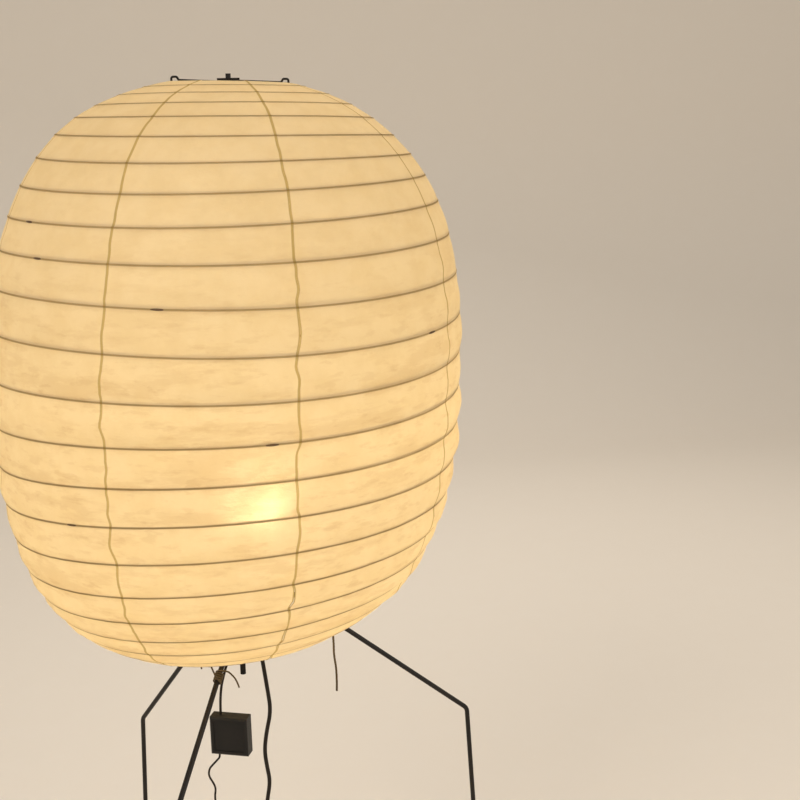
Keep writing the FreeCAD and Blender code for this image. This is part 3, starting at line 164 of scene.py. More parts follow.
def noise_node(tree, vector, scale, detail=3.0, roughness=0.5, stretch=None):
    """Noise at a scale in repeats per metre."""
    node = tree.nodes.new("ShaderNodeTexNoise")
    node.inputs["Scale"].default_value = scale
    node.inputs["Detail"].default_value = detail
    node.inputs["Roughness"].default_value = roughness
    if stretch is not None:
        mapping = tree.nodes.new("ShaderNodeMapping")
        mapping.inputs["Scale"].default_value = stretch
        link(tree, vector, mapping.inputs["Vector"])
        vector = mapping.outputs[0]
    link(tree, vector, node.inputs["Vector"])
    return node.outputs["Fac"]


def surface_group():
    """Handled surface: cloudy tone, fine speckle and a bump, from Object coordinates."""
    group = bpy.data.node_groups.new("handled_surface", "ShaderNodeTree")
    socket(group, "INPUT", "Colour", "NodeSocketColor", (0.5, 0.5, 0.5, 1))
    socket(group, "INPUT", "Worn Colour", "NodeSocketColor", (0.5, 0.5, 0.5, 1))
    socket(group, "INPUT", "Wear", "NodeSocketFloat", 0.2)
    socket(group, "INPUT", "Grain Scale", "NodeSocketFloat", 900.0)
    socket(group, "INPUT", "Roughness", "NodeSocketFloat", 0.5)
    socket(group, "INPUT", "Roughness Spread", "NodeSocketFloat", 0.12)
    socket(group, "INPUT", "Bump", "NodeSocketFloat", 0.1)
    socket(group, "OUTPUT", "Colour", "NodeSocketColor")
    socket(group, "OUTPUT", "Roughness", "NodeSocketFloat")
    socket(group, "OUTPUT", "Normal", "NodeSocketVector")
    start = group.nodes.new("NodeGroupInput")
    end = group.nodes.new("NodeGroupOutput")
    place = group.nodes.new("ShaderNodeTexCoord").outputs["Object"]
    clouds = noise_node(group, place, 14.0, 4.0, 0.55)
    grain = group.nodes.new("ShaderNodeTexNoise")
    grain.inputs["Detail"].default_value = 4.0
    link(group, place, grain.inputs["Vector"])
    link(group, start.outputs["Grain Scale"], grain.inputs["Scale"])
    speck = ramp_node(group, grain.outputs["Fac"], 0.55, 0.75)
    rubbed = ramp_node(group, clouds, 0.42, 0.72)
    worn = math_node(group, "ADD", rubbed, speck)
    amount = math_node(group, "MULTIPLY", worn, start.outputs["Wear"], True)
    colour = mix_colour(group, amount, start.outputs["Colour"], start.outputs["Worn Colour"])
    shift = math_node(group, "SUBTRACT", grain.outputs["Fac"], 0.5)
    spread = math_node(group, "MULTIPLY", shift, start.outputs["Roughness Spread"])
    spread = math_node(group, "MULTIPLY", spread, 2.0)
    rough = math_node(group, "ADD", start.outputs["Roughness"], spread, True)
    bump = group.nodes.new("ShaderNodeBump")
    bump.inputs["Distance"].default_value = 0.0004
    link(group, start.outputs["Bump"], bump.inputs["Strength"])
    link(group, grain.outputs["Fac"], bump.inputs["Height"])
    link(group, colour, end.inputs["Colour"])
    link(group, rough, end.inputs["Roughness"])
    link(group, bump.outputs[0], end.inputs["Normal"])
    return group


SURFACE = surface_group()


def handled(name, colour, worn, wear=0.25, grain=900.0, rough=0.5, spread=0.12, bump=0.1,
            metallic=0.0, coat=0.0, shine=0.5):
    """A material on the handled-surface group."""
    material = bpy.data.materials.new(name)
    material.use_nodes = True
    tree = material.node_tree
    shader = tree.nodes["Principled BSDF"]
    effect = tree.nodes.new("ShaderNodeGroup")
    effect.node_tree = SURFACE
    for key, value in (("Colour", (*colour, 1)), ("Worn Colour", (*worn, 1)), ("Wear", wear),
                       ("Grain Scale", grain), ("Roughness", rough), ("Roughness Spread", spread),
                       ("Bump", bump)):
        effect.inputs[key].default_value = value
    link(tree, effect.outputs["Colour"], shader.inputs["Base Color"])
    link(tree, effect.outputs["Roughness"], shader.inputs["Roughness"])
    link(tree, effect.outputs["Normal"], shader.inputs["Normal"])
    shader.inputs["Metallic"].default_value = metallic
    shader.inputs["Coat Weight"].default_value = coat
    shader.inputs["Specular IOR Level"].default_value = shine
    return material


# ------------------------------------------------------------------ mesh helpers
def add_mesh(name, points, faces, material, body, caps=()):
    """A smooth mesh piece from arrays, with any end caps as lists of triangles, riding on a body."""
    mesh = bpy.data.meshes.new(name)
    polygons = faces.tolist()
    for cap in caps:
        polygons += cap.tolist()
    mesh.from_pydata(points.reshape(-1, 3).tolist(), [], polygons)
    mesh.materials.append(material)
    mesh.polygons.foreach_set("use_smooth", [True] * len(mesh.polygons))
    mesh.update()
    piece = bpy.data.objects.new(name, mesh)
    bpy.context.scene.collection.objects.link(piece)
    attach(piece, body)
    return piece


def grid_faces(rows, columns, wrap=False):
    """Quads of a grid of rows by columns, closed round its columns if wrap is true."""
    across = columns if wrap else columns - 1
    row, column = np.meshgrid(np.arange(rows - 1), np.arange(across), indexing="ij")
    after = (column + 1) % columns
    return np.stack([row * columns + column, row * columns + after,
                     (row + 1) * columns + after, (row + 1) * columns + column], -1).reshape(-1, 4)


def along_frames(points):
    """Two square directions across a row of points, carried smoothly along it."""
    tangent = np.gradient(points, axis=0)
    tangent /= np.linalg.norm(tangent, axis=1)[:, None]
    first = np.cross(tangent[0], [0.3, 0.5, 0.81])
    first /= np.linalg.norm(first)
    side = np.empty_like(points)
    side[0] = first
    for index in range(1, len(points)):
        carried = side[index - 1] - tangent[index] * (side[index - 1] @ tangent[index])
        side[index] = carried / np.linalg.norm(carried)
    return side, np.cross(tangent, side)


STRAND_LOBES = 3
STRAND_LAY = 12 * MM
STRAND_DEPTH = 0.16
STRAND_STEPS = 18


def strand_tube(name, points, radius, material, body):
    """Twisted string: a tube whose section has a few lobes that turn once in each lay length."""
    side, up = along_frames(points)
    distance = np.concatenate([[0.0], np.cumsum(np.linalg.norm(np.diff(points, axis=0), axis=1))])
    turn = np.linspace(0, 2 * np.pi, STRAND_STEPS, endpoint=False)
    twist = turn[None, :] - 2 * np.pi * distance[:, None] / STRAND_LAY
    reach = radius * (1 - STRAND_DEPTH + STRAND_DEPTH * np.abs(np.cos(STRAND_LOBES / 2 * twist)))
    ring = (points[:, None, :] + (reach * np.cos(turn))[..., None] * side[:, None, :]
            + (reach * np.sin(turn))[..., None] * up[:, None, :])
    count = len(points) * STRAND_STEPS
    first = np.arange(STRAND_STEPS)
    after = (first + 1) % STRAND_STEPS
    last_row = count - STRAND_STEPS
    caps = (np.stack([np.full(STRAND_STEPS, count), after, first], -1),
            np.stack([np.full(STRAND_STEPS, count + 1), last_row + first, last_row + after], -1))
    flat = np.vstack([ring.reshape(-1, 3), points[0], points[-1]])
    return add_mesh(name, flat, grid_faces(len(points), STRAND_STEPS, True), material, body, caps)


def from_axis(points_mm):
    """Points given in millimetres from the foot of the hub's axis, as an array in metres."""
    return np.array(points_mm, float) * MM + AXIS


def nurbs(name, points, diameter, material, body):
    """A cord's curve: a smooth NURBS line with the route's points as control points, and the
    cord's own radius at each."""
    data = bpy.data.curves.new(name, "CURVE")
    data.dimensions = "3D"
    data.bevel_depth = 1.0
    data.bevel_resolution = 6
    data.use_fill_caps = True
    data.resolution_u = 12
    spline = data.splines.new("NURBS")
    spline.points.add(len(points) - 1)
    for target, place in zip(spline.points, points):
        target.co = (*place, 1.0)
        target.radius = diameter / 2
    spline.order_u = 3
    spline.use_endpoint_u = True
    data.materials.append(material)
    piece = bpy.data.objects.new(name, data)
    bpy.context.scene.collection.objects.link(piece)
    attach(piece, body)
    return piece


def curve_line(piece):
    """The points that a cord's curve follows, with its bevel off."""
    depth = piece.data.bevel_depth
    piece.data.bevel_depth = 0.0
    bpy.context.view_layer.update()
    mesh = bpy.data.meshes.new_from_object(piece.evaluated_get(bpy.context.evaluated_depsgraph_get()))
    line = np.empty(len(mesh.vertices) * 3)
    mesh.vertices.foreach_get("co", line)
    bpy.data.meshes.remove(mesh)
    piece.data.bevel_depth = depth
    return line.reshape(-1, 3)


def line_length(line):
    return float(np.linalg.norm(np.diff(line, axis=0), axis=1).sum())


# ------------------------------------------------------------------ the shade's surface
def meridian_table():
    """Distance down the paper from the top ring, with radius, height and outward normal. Each half
    is a superellipse, and a small crown lifts the paper towards the top ring."""
    first = np.arcsin((TOP_RING / SHADE_RADIUS) ** (UPPER_FULLNESS / 2))
    last = np.pi - np.arcsin((BOTTOM_RING / SHADE_RADIUS) ** (LOWER_FULLNESS / 2))
    angle = np.linspace(first, last, 6001)
    upper = angle < np.pi / 2
    power = 2 / np.where(upper, UPPER_FULLNESS, LOWER_FULLNESS)
    radius = SHADE_RADIUS * np.sin(angle) ** power
    half = np.where(upper, SHADE_UPPER, SHADE_LOWER)
    height = SHADE_LOWER + half * np.sign(np.cos(angle)) * np.abs(np.cos(angle)) ** power
    height += np.where(upper, CROWN_RISE * np.exp((TOP_RING - radius) / CROWN_REACH), 0.0)
    step = np.hypot(np.diff(radius), np.diff(height))
    distance = np.concatenate([[0.0], np.cumsum(step)])
    out = -np.gradient(height, distance)
    up = np.gradient(radius, distance)
    size = np.hypot(out, up)
    return distance, radius, height, out / size, up / size


MERIDIAN = meridian_table()
MERIDIAN_LENGTH = MERIDIAN[0][-1]


def shade_place(distance, angle, lift=0.0):
    """Points of the paper and their outward directions, for arrays of distance and angle (degrees)."""
    table = MERIDIAN
    out = np.interp(distance, table[0], table[3])
    up = np.interp(distance, table[0], table[4])
    radius = np.interp(distance, table[0], table[1]) + lift * out
    height = np.interp(distance, table[0], table[2]) + lift * up
    share = np.clip(height / (SHADE_UPPER + SHADE_LOWER), 0, 1)
    skew = np.interp(share, SKEW_SHARES, SKEW_SLOPES)
    turn = np.radians(angle)
    aside = radius * np.cos(turn)
    sway = np.interp(share, SWAY_SHARES, SWAYS)
    place = np.stack([AXIS[0] + sway + aside, AXIS[1] + radius * np.sin(turn),
                      SHADE_FOOT + height + aside * skew], -1)
    way = np.stack([out * np.cos(turn), out * np.sin(turn), up], -1)
    return place, way


def rib_distance(turn):
    """How far down the paper the rib is: crowded towards both rings, with a hand's waver."""
    share = (turn + RIB_LEAD_IN) / RIB_TURNS
    circle = 2 * np.pi * share
    both, foot, middle = RIB_CROWDING
    even = (share - both * np.sin(circle) / (2 * np.pi)
            - foot * (1 - np.cos(circle)) / (2 * np.pi)
            + middle * np.sin(2 * circle) / (4 * np.pi))
    fade = np.sin(np.pi * np.clip(share, 0, 1))
    waver = sum(size * np.sin(2 * np.pi * rate * turn + phase) for size, rate, phase in RIB_WAVERS)
    return PAPER_MARGIN + (MERIDIAN_LENGTH - 2 * PAPER_MARGIN) * even + fade * waver


def smooth_noise(first, second, seed, size=64):
    """Value noise on two coordinates, smooth and the same each run."""
    lattice = np.random.default_rng(seed).uniform(-1, 1, (size, size))
    i, j = np.floor(first).astype(int), np.floor(second).astype(int)
    a, b = first - i, second - j
    a, b = a * a * (3 - 2 * a), b * b * (3 - 2 * b)

    def at(p, q):
        return lattice[p % size, q % size]

    low = at(i, j) * (1 - a) + at(i + 1, j) * a
    high = at(i, j + 1) * (1 - a) + at(i + 1, j + 1) * a
    return low * (1 - b) + high * b


# where each seam stands off its even place, in degrees: read from the photo for the three seen
SEAM_SHIFT = {0: -1.2, 1: 0.8, 7: 1.5}


def seam_angle(number, distance):
    """A seam's direction down the paper: an even place, its own shift and a small wander."""
    number = number % GORES
    wander = 0.55 * smooth_noise(distance / 0.035, np.full_like(distance, number * 7.3), 11)
    wander += 0.5 * smooth_noise(distance / 0.16, np.full_like(distance, number * 3.1), 12)
    return FIRST_SEAM + 360 / GORES * number + SEAM_SHIFT.get(number, 0.0) + wander


def seam_kink(number, distance):
    """How far a seam steps aside between two turns of the rib, in metres: a hand-pasted edge."""
    number = number % GORES
    slack = np.clip((distance - 0.12) / 0.25, 0.25, 1)
    kink = 1.7 * smooth_noise(distance / 0.011, np.full_like(distance, number * 5.3), 13)
    kink += 1.5 * smooth_noise(distance / 0.026, np.full_like(distance, number * 2.9), 14)
    return kink * slack * MM


# rows of each strip between two turns of the rib, close together near the rib
STRIP_ROWS = np.array([0, 0.012, 0.03, 0.055, 0.09, 0.15, 0.23, 0.32, 0.42, 0.52, 0.62, 0.72, 0.81,
                       0.88, 0.93, 0.965, 0.985])
GORE_COLUMNS = 72
RIDGE_HEIGHT = 0.6 * MM
RIDGE_WIDTH = 1.2 * MM
SEAM_LIFT = 0.35 * MM
SEAM_OVERLAP = 2.6 * MM
STRIP_SWELL = (0.5 * MM, 3.0 * MM)
CREASE_LIFT = (0.25 * MM, 0.75 * MM)
SLACK_START = 160 * MM
SLACK_LENGTH = 300 * MM
FOOT_HOLD = 100 * MM
USUAL_STRIP = 36 * MM


def gore_lines(number):
    """Where each turn of the rib crosses a gore: distance down the paper and direction, by line
    (the top ring, each turn, the bottom ring) and by column."""
    width = 360 / GORES
    first = FIRST_SEAM + number * width
    behind = (RIB_START - first - width) % 360
    if behind > 359.99:
        behind = 0.0
    across = np.linspace(0, 1, GORE_COLUMNS)
    lines = RIB_TURNS + 2
    turns = np.arange(lines - 2)[:, None]
    distance = np.zeros((lines, GORE_COLUMNS))
    distance[-1] = MERIDIAN_LENGTH
    distance[1:-1] = rib_distance(turns + (behind + width * (1 - across)) / 360)
    near = seam_angle(number, distance[:, 0])
    far = seam_angle(number + 1, distance[:, -1])
    if number == GORES - 1:
        far = far + 360
    angle = near[:, None] * (1 - across) + far[:, None] * across
    distance[1:-1] = rib_distance(turns + (behind + first + width - angle[1:-1]) / 360)
    return distance, angle, across


def paper_gore(number, material):
    """One gore of paper. Each strip runs straight from turn to turn, with a ridge over the rib;
    lower strips are slack, swell above the rib below and carry creases."""
    line_distance, angle, share_across = gore_lines(number)
    lines = len(line_distance)
    place, way = shade_place(line_distance, angle)
    strip = np.append((np.arange(lines - 1)[:, None] + STRIP_ROWS[None, :]).ravel(), lines - 1.0)
    upper = np.minimum(np.floor(strip).astype(int), lines - 2)
    share = (strip - upper)[:, None]

    def between_lines(values, blend):
        return values[upper] * (1 - blend) + values[upper + 1] * blend

    points = between_lines(place, share[..., None])
    normal = between_lines(way, share[..., None])
    normal /= np.linalg.norm(normal, axis=-1)[..., None]
    row_distance = between_lines(line_distance, share)
    turn = np.radians(between_lines(angle, share))
    length = line_distance[upper + 1] - line_distance[upper]
    radius = np.interp(row_distance, MERIDIAN[0], MERIDIAN[1])
    aside = (seam_kink(number, row_distance[:, :1]) * (1 - share_across) ** 6
             + seam_kink(number + 1, row_distance[:, -1:]) * share_across ** 6)
    points = points + aside[..., None] * np.stack([-np.sin(turn), np.cos(turn), 0 * turn], -1)
    around = turn * SHADE_RADIUS
    # slackness grows down the shade; each strip has its own share of it
    slack = (np.clip((row_distance - SLACK_START) / SLACK_LENGTH, 0, 1)
             * np.clip((MERIDIAN_LENGTH - row_distance) / FOOT_HOLD, 0.25, 1))
    own = 0.75 + 0.5 * smooth_noise(upper[:, None] * 1.7 + around * 3.0, around * 6.0, 21)
    swell = np.sin(np.pi * share ** 1.35) * np.clip(length / USUAL_STRIP, 0, 1.2)
    lift = (STRIP_SWELL[0] + STRIP_SWELL[1] * slack) * swell * own
    # creases: slanting folds that fade towards the ribs, stronger where the paper is slack
    hold = np.sin(np.pi * np.clip(share, 0, 1)) ** 0.6
    slant = around + 0.6 * row_distance
    crease = 1 - 2 * np.abs(smooth_noise(slant / 0.020, row_distance / 0.011 + around / 0.09, 31))
    crumple = smooth_noise(slant / 0.009, row_distance / 0.006, 32)
    broad = smooth_noise(around / 0.06, row_distance / 0.03, 33)
    folds = 0.5 * crease + 0.35 * crumple + 1.1 * broad
    lift += hold * (CREASE_LIFT[0] + CREASE_LIFT[1] * slack) * folds
    rib_gap = np.minimum(share, 1 - share) * length
    rib_gap = np.where((upper[:, None] == 0) & (share < 0.5), share * length + 4 * MM, rib_gap)
    lift += RIDGE_HEIGHT * np.exp(-(rib_gap / RIDGE_WIDTH) ** 2)
    seam_gap = np.minimum(share_across, 1 - share_across) * np.radians(360 / GORES) * radius
    lift += SEAM_LIFT * np.exp(-(seam_gap / SEAM_OVERLAP) ** 4)
    points = points + normal * lift[..., None]
    piece = add_mesh("paper_%d" % (number + 1), points,
                     grid_faces(len(strip), GORE_COLUMNS)[:, ::-1], material, "frame")
    mesh = piece.data
    for key, values in (("rib_gap", rib_gap), ("seam_gap", seam_gap), ("slack", slack)):
        layer = mesh.attributes.new(key, "FLOAT", "POINT")
        layer.data.foreach_set("value", np.ascontiguousarray(values, np.float32).ravel())
    uv = mesh.uv_layers.new(name="paper")
    corner = np.empty(len(mesh.loops), int)
    mesh.loops.foreach_get("vertex_index", corner)
    flat = np.stack([around, row_distance], -1).reshape(-1, 2)
    uv.data.foreach_set("uv", flat[corner].astype(np.float32).ravel())
    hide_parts("paper_gore_%d" % (number + 1))


PAPER_LIGHT = (0.93, 0.805, 0.555)
PAPER_DEEP = (0.89, 0.755, 0.495)
PAPER_FIBRE = (0.96, 0.87, 0.64)
PAPER_FOLD = (0.79, 0.635, 0.39)
PAPER_SEAM = (0.52, 0.39, 0.14)
# brown of the glue along the rib together with the painted shadow of the rib seen through the paper
PAPER_RIB_GLUE_AND_SHADOW = (0.30, 0.20, 0.06)
PAPER_THROUGH = 0.6
PAPER_ROUGHNESS = 0.9
PAPER_FORWARD = 0.05
PAPER_BEND = 1.10
PAPER_SHINE = 0.25
WRINKLE_STRENGTH = 0.35
WRINKLE_DEPTH = 0.0012


def paper_material():
    """Thin handmade paper: warm cream, long fibres, darker where it doubles at a seam, with a brown
    glue line and a painted shadow of the rib where it lies over the rib, and painted shade in its
    folds.
    Much of the light goes through."""
    material = bpy.data.materials.new("handmade_paper")
    material.use_nodes = True
    tree = material.node_tree
    shader = tree.nodes["Principled BSDF"]
    place = tree.nodes.new("ShaderNodeTexCoord").outputs["Object"]

    def attribute(name):
        node = tree.nodes.new("ShaderNodeAttribute")
        node.attribute_name = name
        return node.outputs["Fac"]

    clouds = noise_node(tree, place, 28.0, 5.0, 0.6)
    fibres = noise_node(tree, place, 160.0, 3.0, 0.6, (1.0, 1.0, 6.0))
    tone = mix_colour(tree, ramp_node(tree, clouds, 0.35, 0.68), PAPER_LIGHT, PAPER_DEEP)
    tone = mix_colour(tree, ramp_node(tree, fibres, 0.60, 0.75, 0.0, 0.25), tone, PAPER_FIBRE)
    # shadows of folds: long level streaks with a hard upper edge, more where the paper is slack
    slack = ramp_node(tree, attribute("slack"), 0.0, 0.9, 0.12, 1.0)
    folds = noise_node(tree, place, 9.0, 6.0, 0.62, (1.0, 1.0, 4.5))
    fine_folds = noise_node(tree, place, 34.0, 5.0, 0.6, (1.0, 1.0, 3.2))
    shade = math_node(tree, "ADD", ramp_node(tree, folds, 0.50, 0.62, 0.0, 0.5),
                      ramp_node(tree, fine_folds, 0.53, 0.64, 0.0, 0.4))
    tone = mix_colour(tree, math_node(tree, "MULTIPLY", shade, slack, True), tone, PAPER_FOLD)
    seam = ramp_node(tree, attribute("seam_gap"), 0.0010, 0.0019, 1.0, 0.0)
    tone = mix_colour(tree, math_node(tree, "MULTIPLY", seam, 0.8), tone, PAPER_SEAM)
    # painted shadow of the rib inside, seen through the paper, mixed with the brown of the glue along
    # the rib
    rib = ramp_node(tree, attribute("rib_gap"), 0.0004, 0.0015, 1.0, 0.0)
    tone = mix_colour(tree, math_node(tree, "MULTIPLY", rib, 0.7), tone, PAPER_RIB_GLUE_AND_SHADOW)
    wrinkle = noise_node(tree, place, 190.0, 4.0, 0.65, (1.0, 1.0, 2.2))
    bump = tree.nodes.new("ShaderNodeBump")
    bump.inputs["Strength"].default_value = WRINKLE_STRENGTH
    bump.inputs["Distance"].default_value = WRINKLE_DEPTH
    link(tree, wrinkle, bump.inputs["Height"])
    link(tree, tone, shader.inputs["Base Color"])
    link(tree, bump.outputs[0], shader.inputs["Normal"])
    shader.inputs["Roughness"].default_value = PAPER_ROUGHNESS
    shader.inputs["Specular IOR Level"].default_value = PAPER_SHINE
    shader.inputs["Transmission Weight"].default_value = PAPER_FORWARD
    shader.inputs["IOR"].default_value = PAPER_BEND
    through = tree.nodes.new("ShaderNodeBsdfTranslucent")
    link(tree, tone, through.inputs["Color"])
    link(tree, bump.outputs[0], through.inputs["Normal"])
    mixed = tree.nodes.new("ShaderNodeMixShader")
    mixed.inputs[0].default_value = PAPER_THROUGH
    link(tree, shader.outputs[0], mixed.inputs[1])
    link(tree, through.outputs[0], mixed.inputs[2])
    link(tree, mixed.outputs[0], tree.nodes["Material Output"].inputs["Surface"])
    return material


# ------------------------------------------------------------------ strings, knots and splices
LEG_RADIUS = 3 * MM
TIE_GAP = 0.3 * MM
TIE_LOOP_GAP = 0.6 * MM
TIE_START = 0.25
WINDING_STEPS = 260
KNOT_TURNS = 3
KNOT_STEPS = 150
KNOT_RADIUS = 2.45 * MM
KNOT_HALF_WIDTH = 1.6
KNOT_THREAD = 0.85 * MM
KNOT_OUTSET = 8 * MM
KNOT_REACH = 3.0 * MM
TAIL_LEAD = 8 * MM
# each leg: direction from +X, its knee's reach and drop in millimetres, how far out the string is
# wound, where the winding ends in turns, which way it climbs, and the string's thickness
TIES = {
    "right": (10.8, 273.0, 228.8, 97.0, 5.25, 1, 2.8),
    "rear": (131.8, 237.5, 266.5, 105.0, 5.25, 1, 2.0),
    "front": (-112.7, 281.2, 218.9, 117.0, 5.0, -1, 2.0),
}
# free ends of the string, from the hub's axis in millimetres, after the stretch out of the winding
TAILS = {
    "right": [(95.5, 19.0, 560.0), (95.0, 17.0, 545.0), (98.0, 16.0, 524.0), (97.0, 15.0, 498.0)],
    "rear": [(-70.5, 72.5, 540.0), (-72.5, 72.5, 529.0), (-71.0, 72.0, 516.0)],
    "front": [(-30.0, -109.0, 584.0), (-25.0, -107.0, 576.0), (-22.5, -105.0, 566.0)],
}


def ring_frame():
    """The bottom ring's centre, radius and two square directions in its plane."""
    inset = -(PAPER_THICK + RING_WIRE_RADIUS + RING_GAP) * MM
    ends, _ = shade_place(np.array([MERIDIAN_LENGTH] * 2), np.array([0.0, 180.0]), inset)
    centre = ends.mean(0)
    across = ends[0] - ends[1]
    radius = across[0] / 2
    across /= np.linalg.norm(across)
    side = np.array([0.0, 1.0, 0.0])
    return centre, radius, across, side


def string_tie(name, material):
    """One leg's string: five loops round the rod, a slack span to its knot on the ring, a tail."""
    azimuth, knee_out, knee_drop, tie_out, last, climb, thick = TIES[name]
    thick = thick * MM
    turn = math.radians(azimuth)
    outward = np.array([math.cos(turn), math.sin(turn), 0.0])
    aside = np.array([-math.sin(turn), math.cos(turn), 0.0])
    way = outward * knee_out - np.array([0, 0, knee_drop])
    way /= np.linalg.norm(way)
    above = np.cross(way, aside)
    above = above if above[2] > 0 else -above
    middle = AXIS + [0, 0, HUB_LEVEL] + way * (tie_out * MM / math.hypot(way[0], way[1]))
    radius = LEG_RADIUS + thick / 2 + TIE_GAP
    pitch = climb * (thick + TIE_LOOP_GAP)
    half = (TIE_START + last) / 2

    def loop(turns):
        turns = np.asarray(turns, float)[:, None]
        return (middle + way * pitch * (turns - half) + above * radius * np.cos(2 * np.pi * turns)
                + aside * radius * np.sin(2 * np.pi * turns))

    ends = loop([TIE_START, TIE_START + 1e-4, last - 1e-4, last])
    first_way = (ends[1] - ends[0]) / np.linalg.norm(ends[1] - ends[0])
    last_way = (ends[3] - ends[2]) / np.linalg.norm(ends[3] - ends[2])
    first_end = ends[0] - first_way * thick
    last_end = ends[3] + last_way * thick
    winding = np.vstack([first_end, loop(np.linspace(TIE_START, last, WINDING_STEPS)), last_end])
    tie = strand_tube("string_winding_" + name, winding, thick / 2, material, "frame")
    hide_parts("tie_" + name)
    # knot on the ring
    centre, ring_radius, across, side = ring_frame()
    towards = AXIS + outward * (ring_radius + KNOT_OUTSET) - centre
    towards[2] = 0.0
    towards /= np.linalg.norm(towards)
    across_here = across * towards[0] + side * towards[1]
    knot_centre = centre + across_here * ring_radius
    reach = np.linalg.norm(knot_centre - first_end)
    lift = first_end - first_way * reach * 0.38
    slack = lift + (knot_centre - lift) * 0.5 - np.array([0, 0, reach * 0.05])
    near = knot_centre - (knot_centre - slack) / np.linalg.norm(knot_centre - slack) * KNOT_REACH
    span = nurbs("string_span_" + name, [first_end, lift, slack, near], thick, material, "frame")
    line = curve_line(span)
    bpy.data.objects.remove(span)
    span = strand_tube("string_span_" + name, line, thick / 2, material, "frame")
    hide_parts("tie_spans")
    along = np.cross(np.cross(across, side), across_here)
    angle = np.linspace(0, 2 * np.pi * KNOT_TURNS, KNOT_STEPS)[:, None]
    step = np.linspace(-KNOT_HALF_WIDTH, KNOT_HALF_WIDTH, KNOT_STEPS)[:, None]
    wrap = (knot_centre + along * MM * step + across_here * KNOT_RADIUS * np.cos(angle)
            + np.cross(along, across_here) * KNOT_RADIUS * np.sin(angle))
    knot = strand_tube("string_knot_" + name, wrap, KNOT_THREAD, material, "frame")
    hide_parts("tie_spans")
    # tail
    route = [last_end, last_end + last_way * TAIL_LEAD] + list(from_axis(TAILS[name]))
    tail = nurbs("string_tail_" + name, route, thick, material, "frame")
    line = curve_line(tail)
    bpy.data.objects.remove(tail)
    tail = strand_tube("string_tail_" + name, line, thick / 2, material, "frame")
    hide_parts("tie_tails")


# places where two lengths of rib overlap: direction from +X and level above the floor, in mm
SPLICES = [(-146.9, 511.0), (-139.6, 478.0), (-105.8, 432.0), (-37.4, 393.0), (-81.6, 303.0),
           (-128.9, 203.0)]
SPLICE_LENGTH = 13 * MM
SPLICE_RADIUS = 1.15 * MM
SPLICE_OUTSET = 0.55 * MM
SPLICE_END = 0.12
SPLICE_STEPS = 24
SPLICE_SIDES = 14


def rib_splice(number, angle, level, material):
    """Where two lengths of the rib overlap: a short dark pad under the paper's ridge that shows
    through as a dash, swelling in the middle and tapering at both ends."""
    turns = np.arange(RIB_TURNS) + ((RIB_START - angle) % 360) / 360
    places, _ = shade_place(rib_distance(turns), np.full(RIB_TURNS, angle))
    turn = turns[np.argmin(np.abs(places[:, 2] - (SHADE_FOOT + level * MM)))]
    place, _ = shade_place(rib_distance(np.array([turn])), np.array([angle]))
    radius = math.hypot(place[0, 0] - AXIS[0], place[0, 1] - AXIS[1])
    half = SPLICE_LENGTH / 2 / radius / (2 * math.pi)
    steps = np.linspace(turn - half, turn + half, SPLICE_STEPS)
    points, _ = shade_place(rib_distance(steps), RIB_START - 360 * steps, SPLICE_OUTSET)
    size = np.sin(np.linspace(SPLICE_END, np.pi - SPLICE_END, SPLICE_STEPS)) ** 0.4
    side, up = along_frames(points)
    turned = np.linspace(0, 2 * np.pi, SPLICE_SIDES, endpoint=False)
    ring = (points[:, None, :]
            + (size[:, None] * np.cos(turned))[..., None] * side[:, None, :] * SPLICE_RADIUS
            + (size[:, None] * np.sin(turned))[..., None] * up[:, None, :] * SPLICE_RADIUS)
    piece = add_mesh("rib_splice_%d" % number, ring, grid_faces(SPLICE_STEPS, SPLICE_SIDES, True),
                     material, "frame")


# ------------------------------------------------------------------ cords
LEAD_DIAMETER = 5 * MM
THIN_LEAD_DIAMETER = 3 * MM
PULL_CORD_DIAMETER = 2.4 * MM
COIL_TURNS = 6
COIL_RADIUS = 27.5 * MM
COIL_PITCH = 5.7 * MM
COIL_PLACE = (47.5, 180.0, 4.4)
COIL_POINTS = 16
COIL_RUN_IN = (41 * MM, 5 * MM)
COIL_RUN_OUT = (5 * MM, 31 * MM)
# the lead from the hub down to the floor, from the hub's axis in millimetres
LEAD_ROUTE = [
    (0, 0, 652), (0, 0, 600), (3.5, 0, 573), (7, 0, 545), (10.5, 0, 514), (13.5, 0, 485),
    (6.5, 0, 456), (3.2, 0, 432), (5.5, 0, 410), (8.5, 0, 390), (3, 0, 362), (0, 0, 325),
    (-2, 3, 280), (-2, 5, 235), (0, 6, 190), (3, 8, 145), (6, 14, 100), (10, 30, 58),
    (15, 58, 26), (19, 92, 8)]
LEAD_TAIL = [(20.0, 242.0, 28.0), (21.0, 272.0, 10.0), (20.0, 308.0, 7.3)]
THIN_ROUTE = [(-7.0, -11.5, 638.25), (-8.5, -15.0, 618.0), (-17.0, -32.0, 606.0),
              (-29.0, -60.0, 594.0), (-38.0, -84.0, 580.0)]
# the pull cord below its rod's end: aside from the hub's axis and level above the floor
PULL_ROUTE = [(-52.0, 470.0), (-57.5, 464.5), (-62.5, 459.0), (-63.5, 450.0), (-58.5, 441.0),
              (-56.0, 433.0), (-58.0, 423.0), (-57.0, 411.0)]
PULL_START = 0.05 * MM
PULL_STRAIGHT = 4.05 * MM
THIN_DROP = 0.0278
# the thin lead's end inside the switch box, worked out as the solids do
BOX_TURN = math.radians(20.0)
BOX_RIGHT = np.array([math.cos(BOX_TURN), -math.sin(BOX_TURN), 0.0])
BOX_FRONT = np.array([-math.sin(BOX_TURN), -math.cos(BOX_TURN), 0.0])
BOX_CENTRE = from_axis([(-35.0, -96.0, 505.0)])[0]
THIN_END = BOX_CENTRE + BOX_RIGHT * -12.5 * MM + BOX_FRONT * -3.5 * MM + np.array([0, 0, 19.2]) * MM


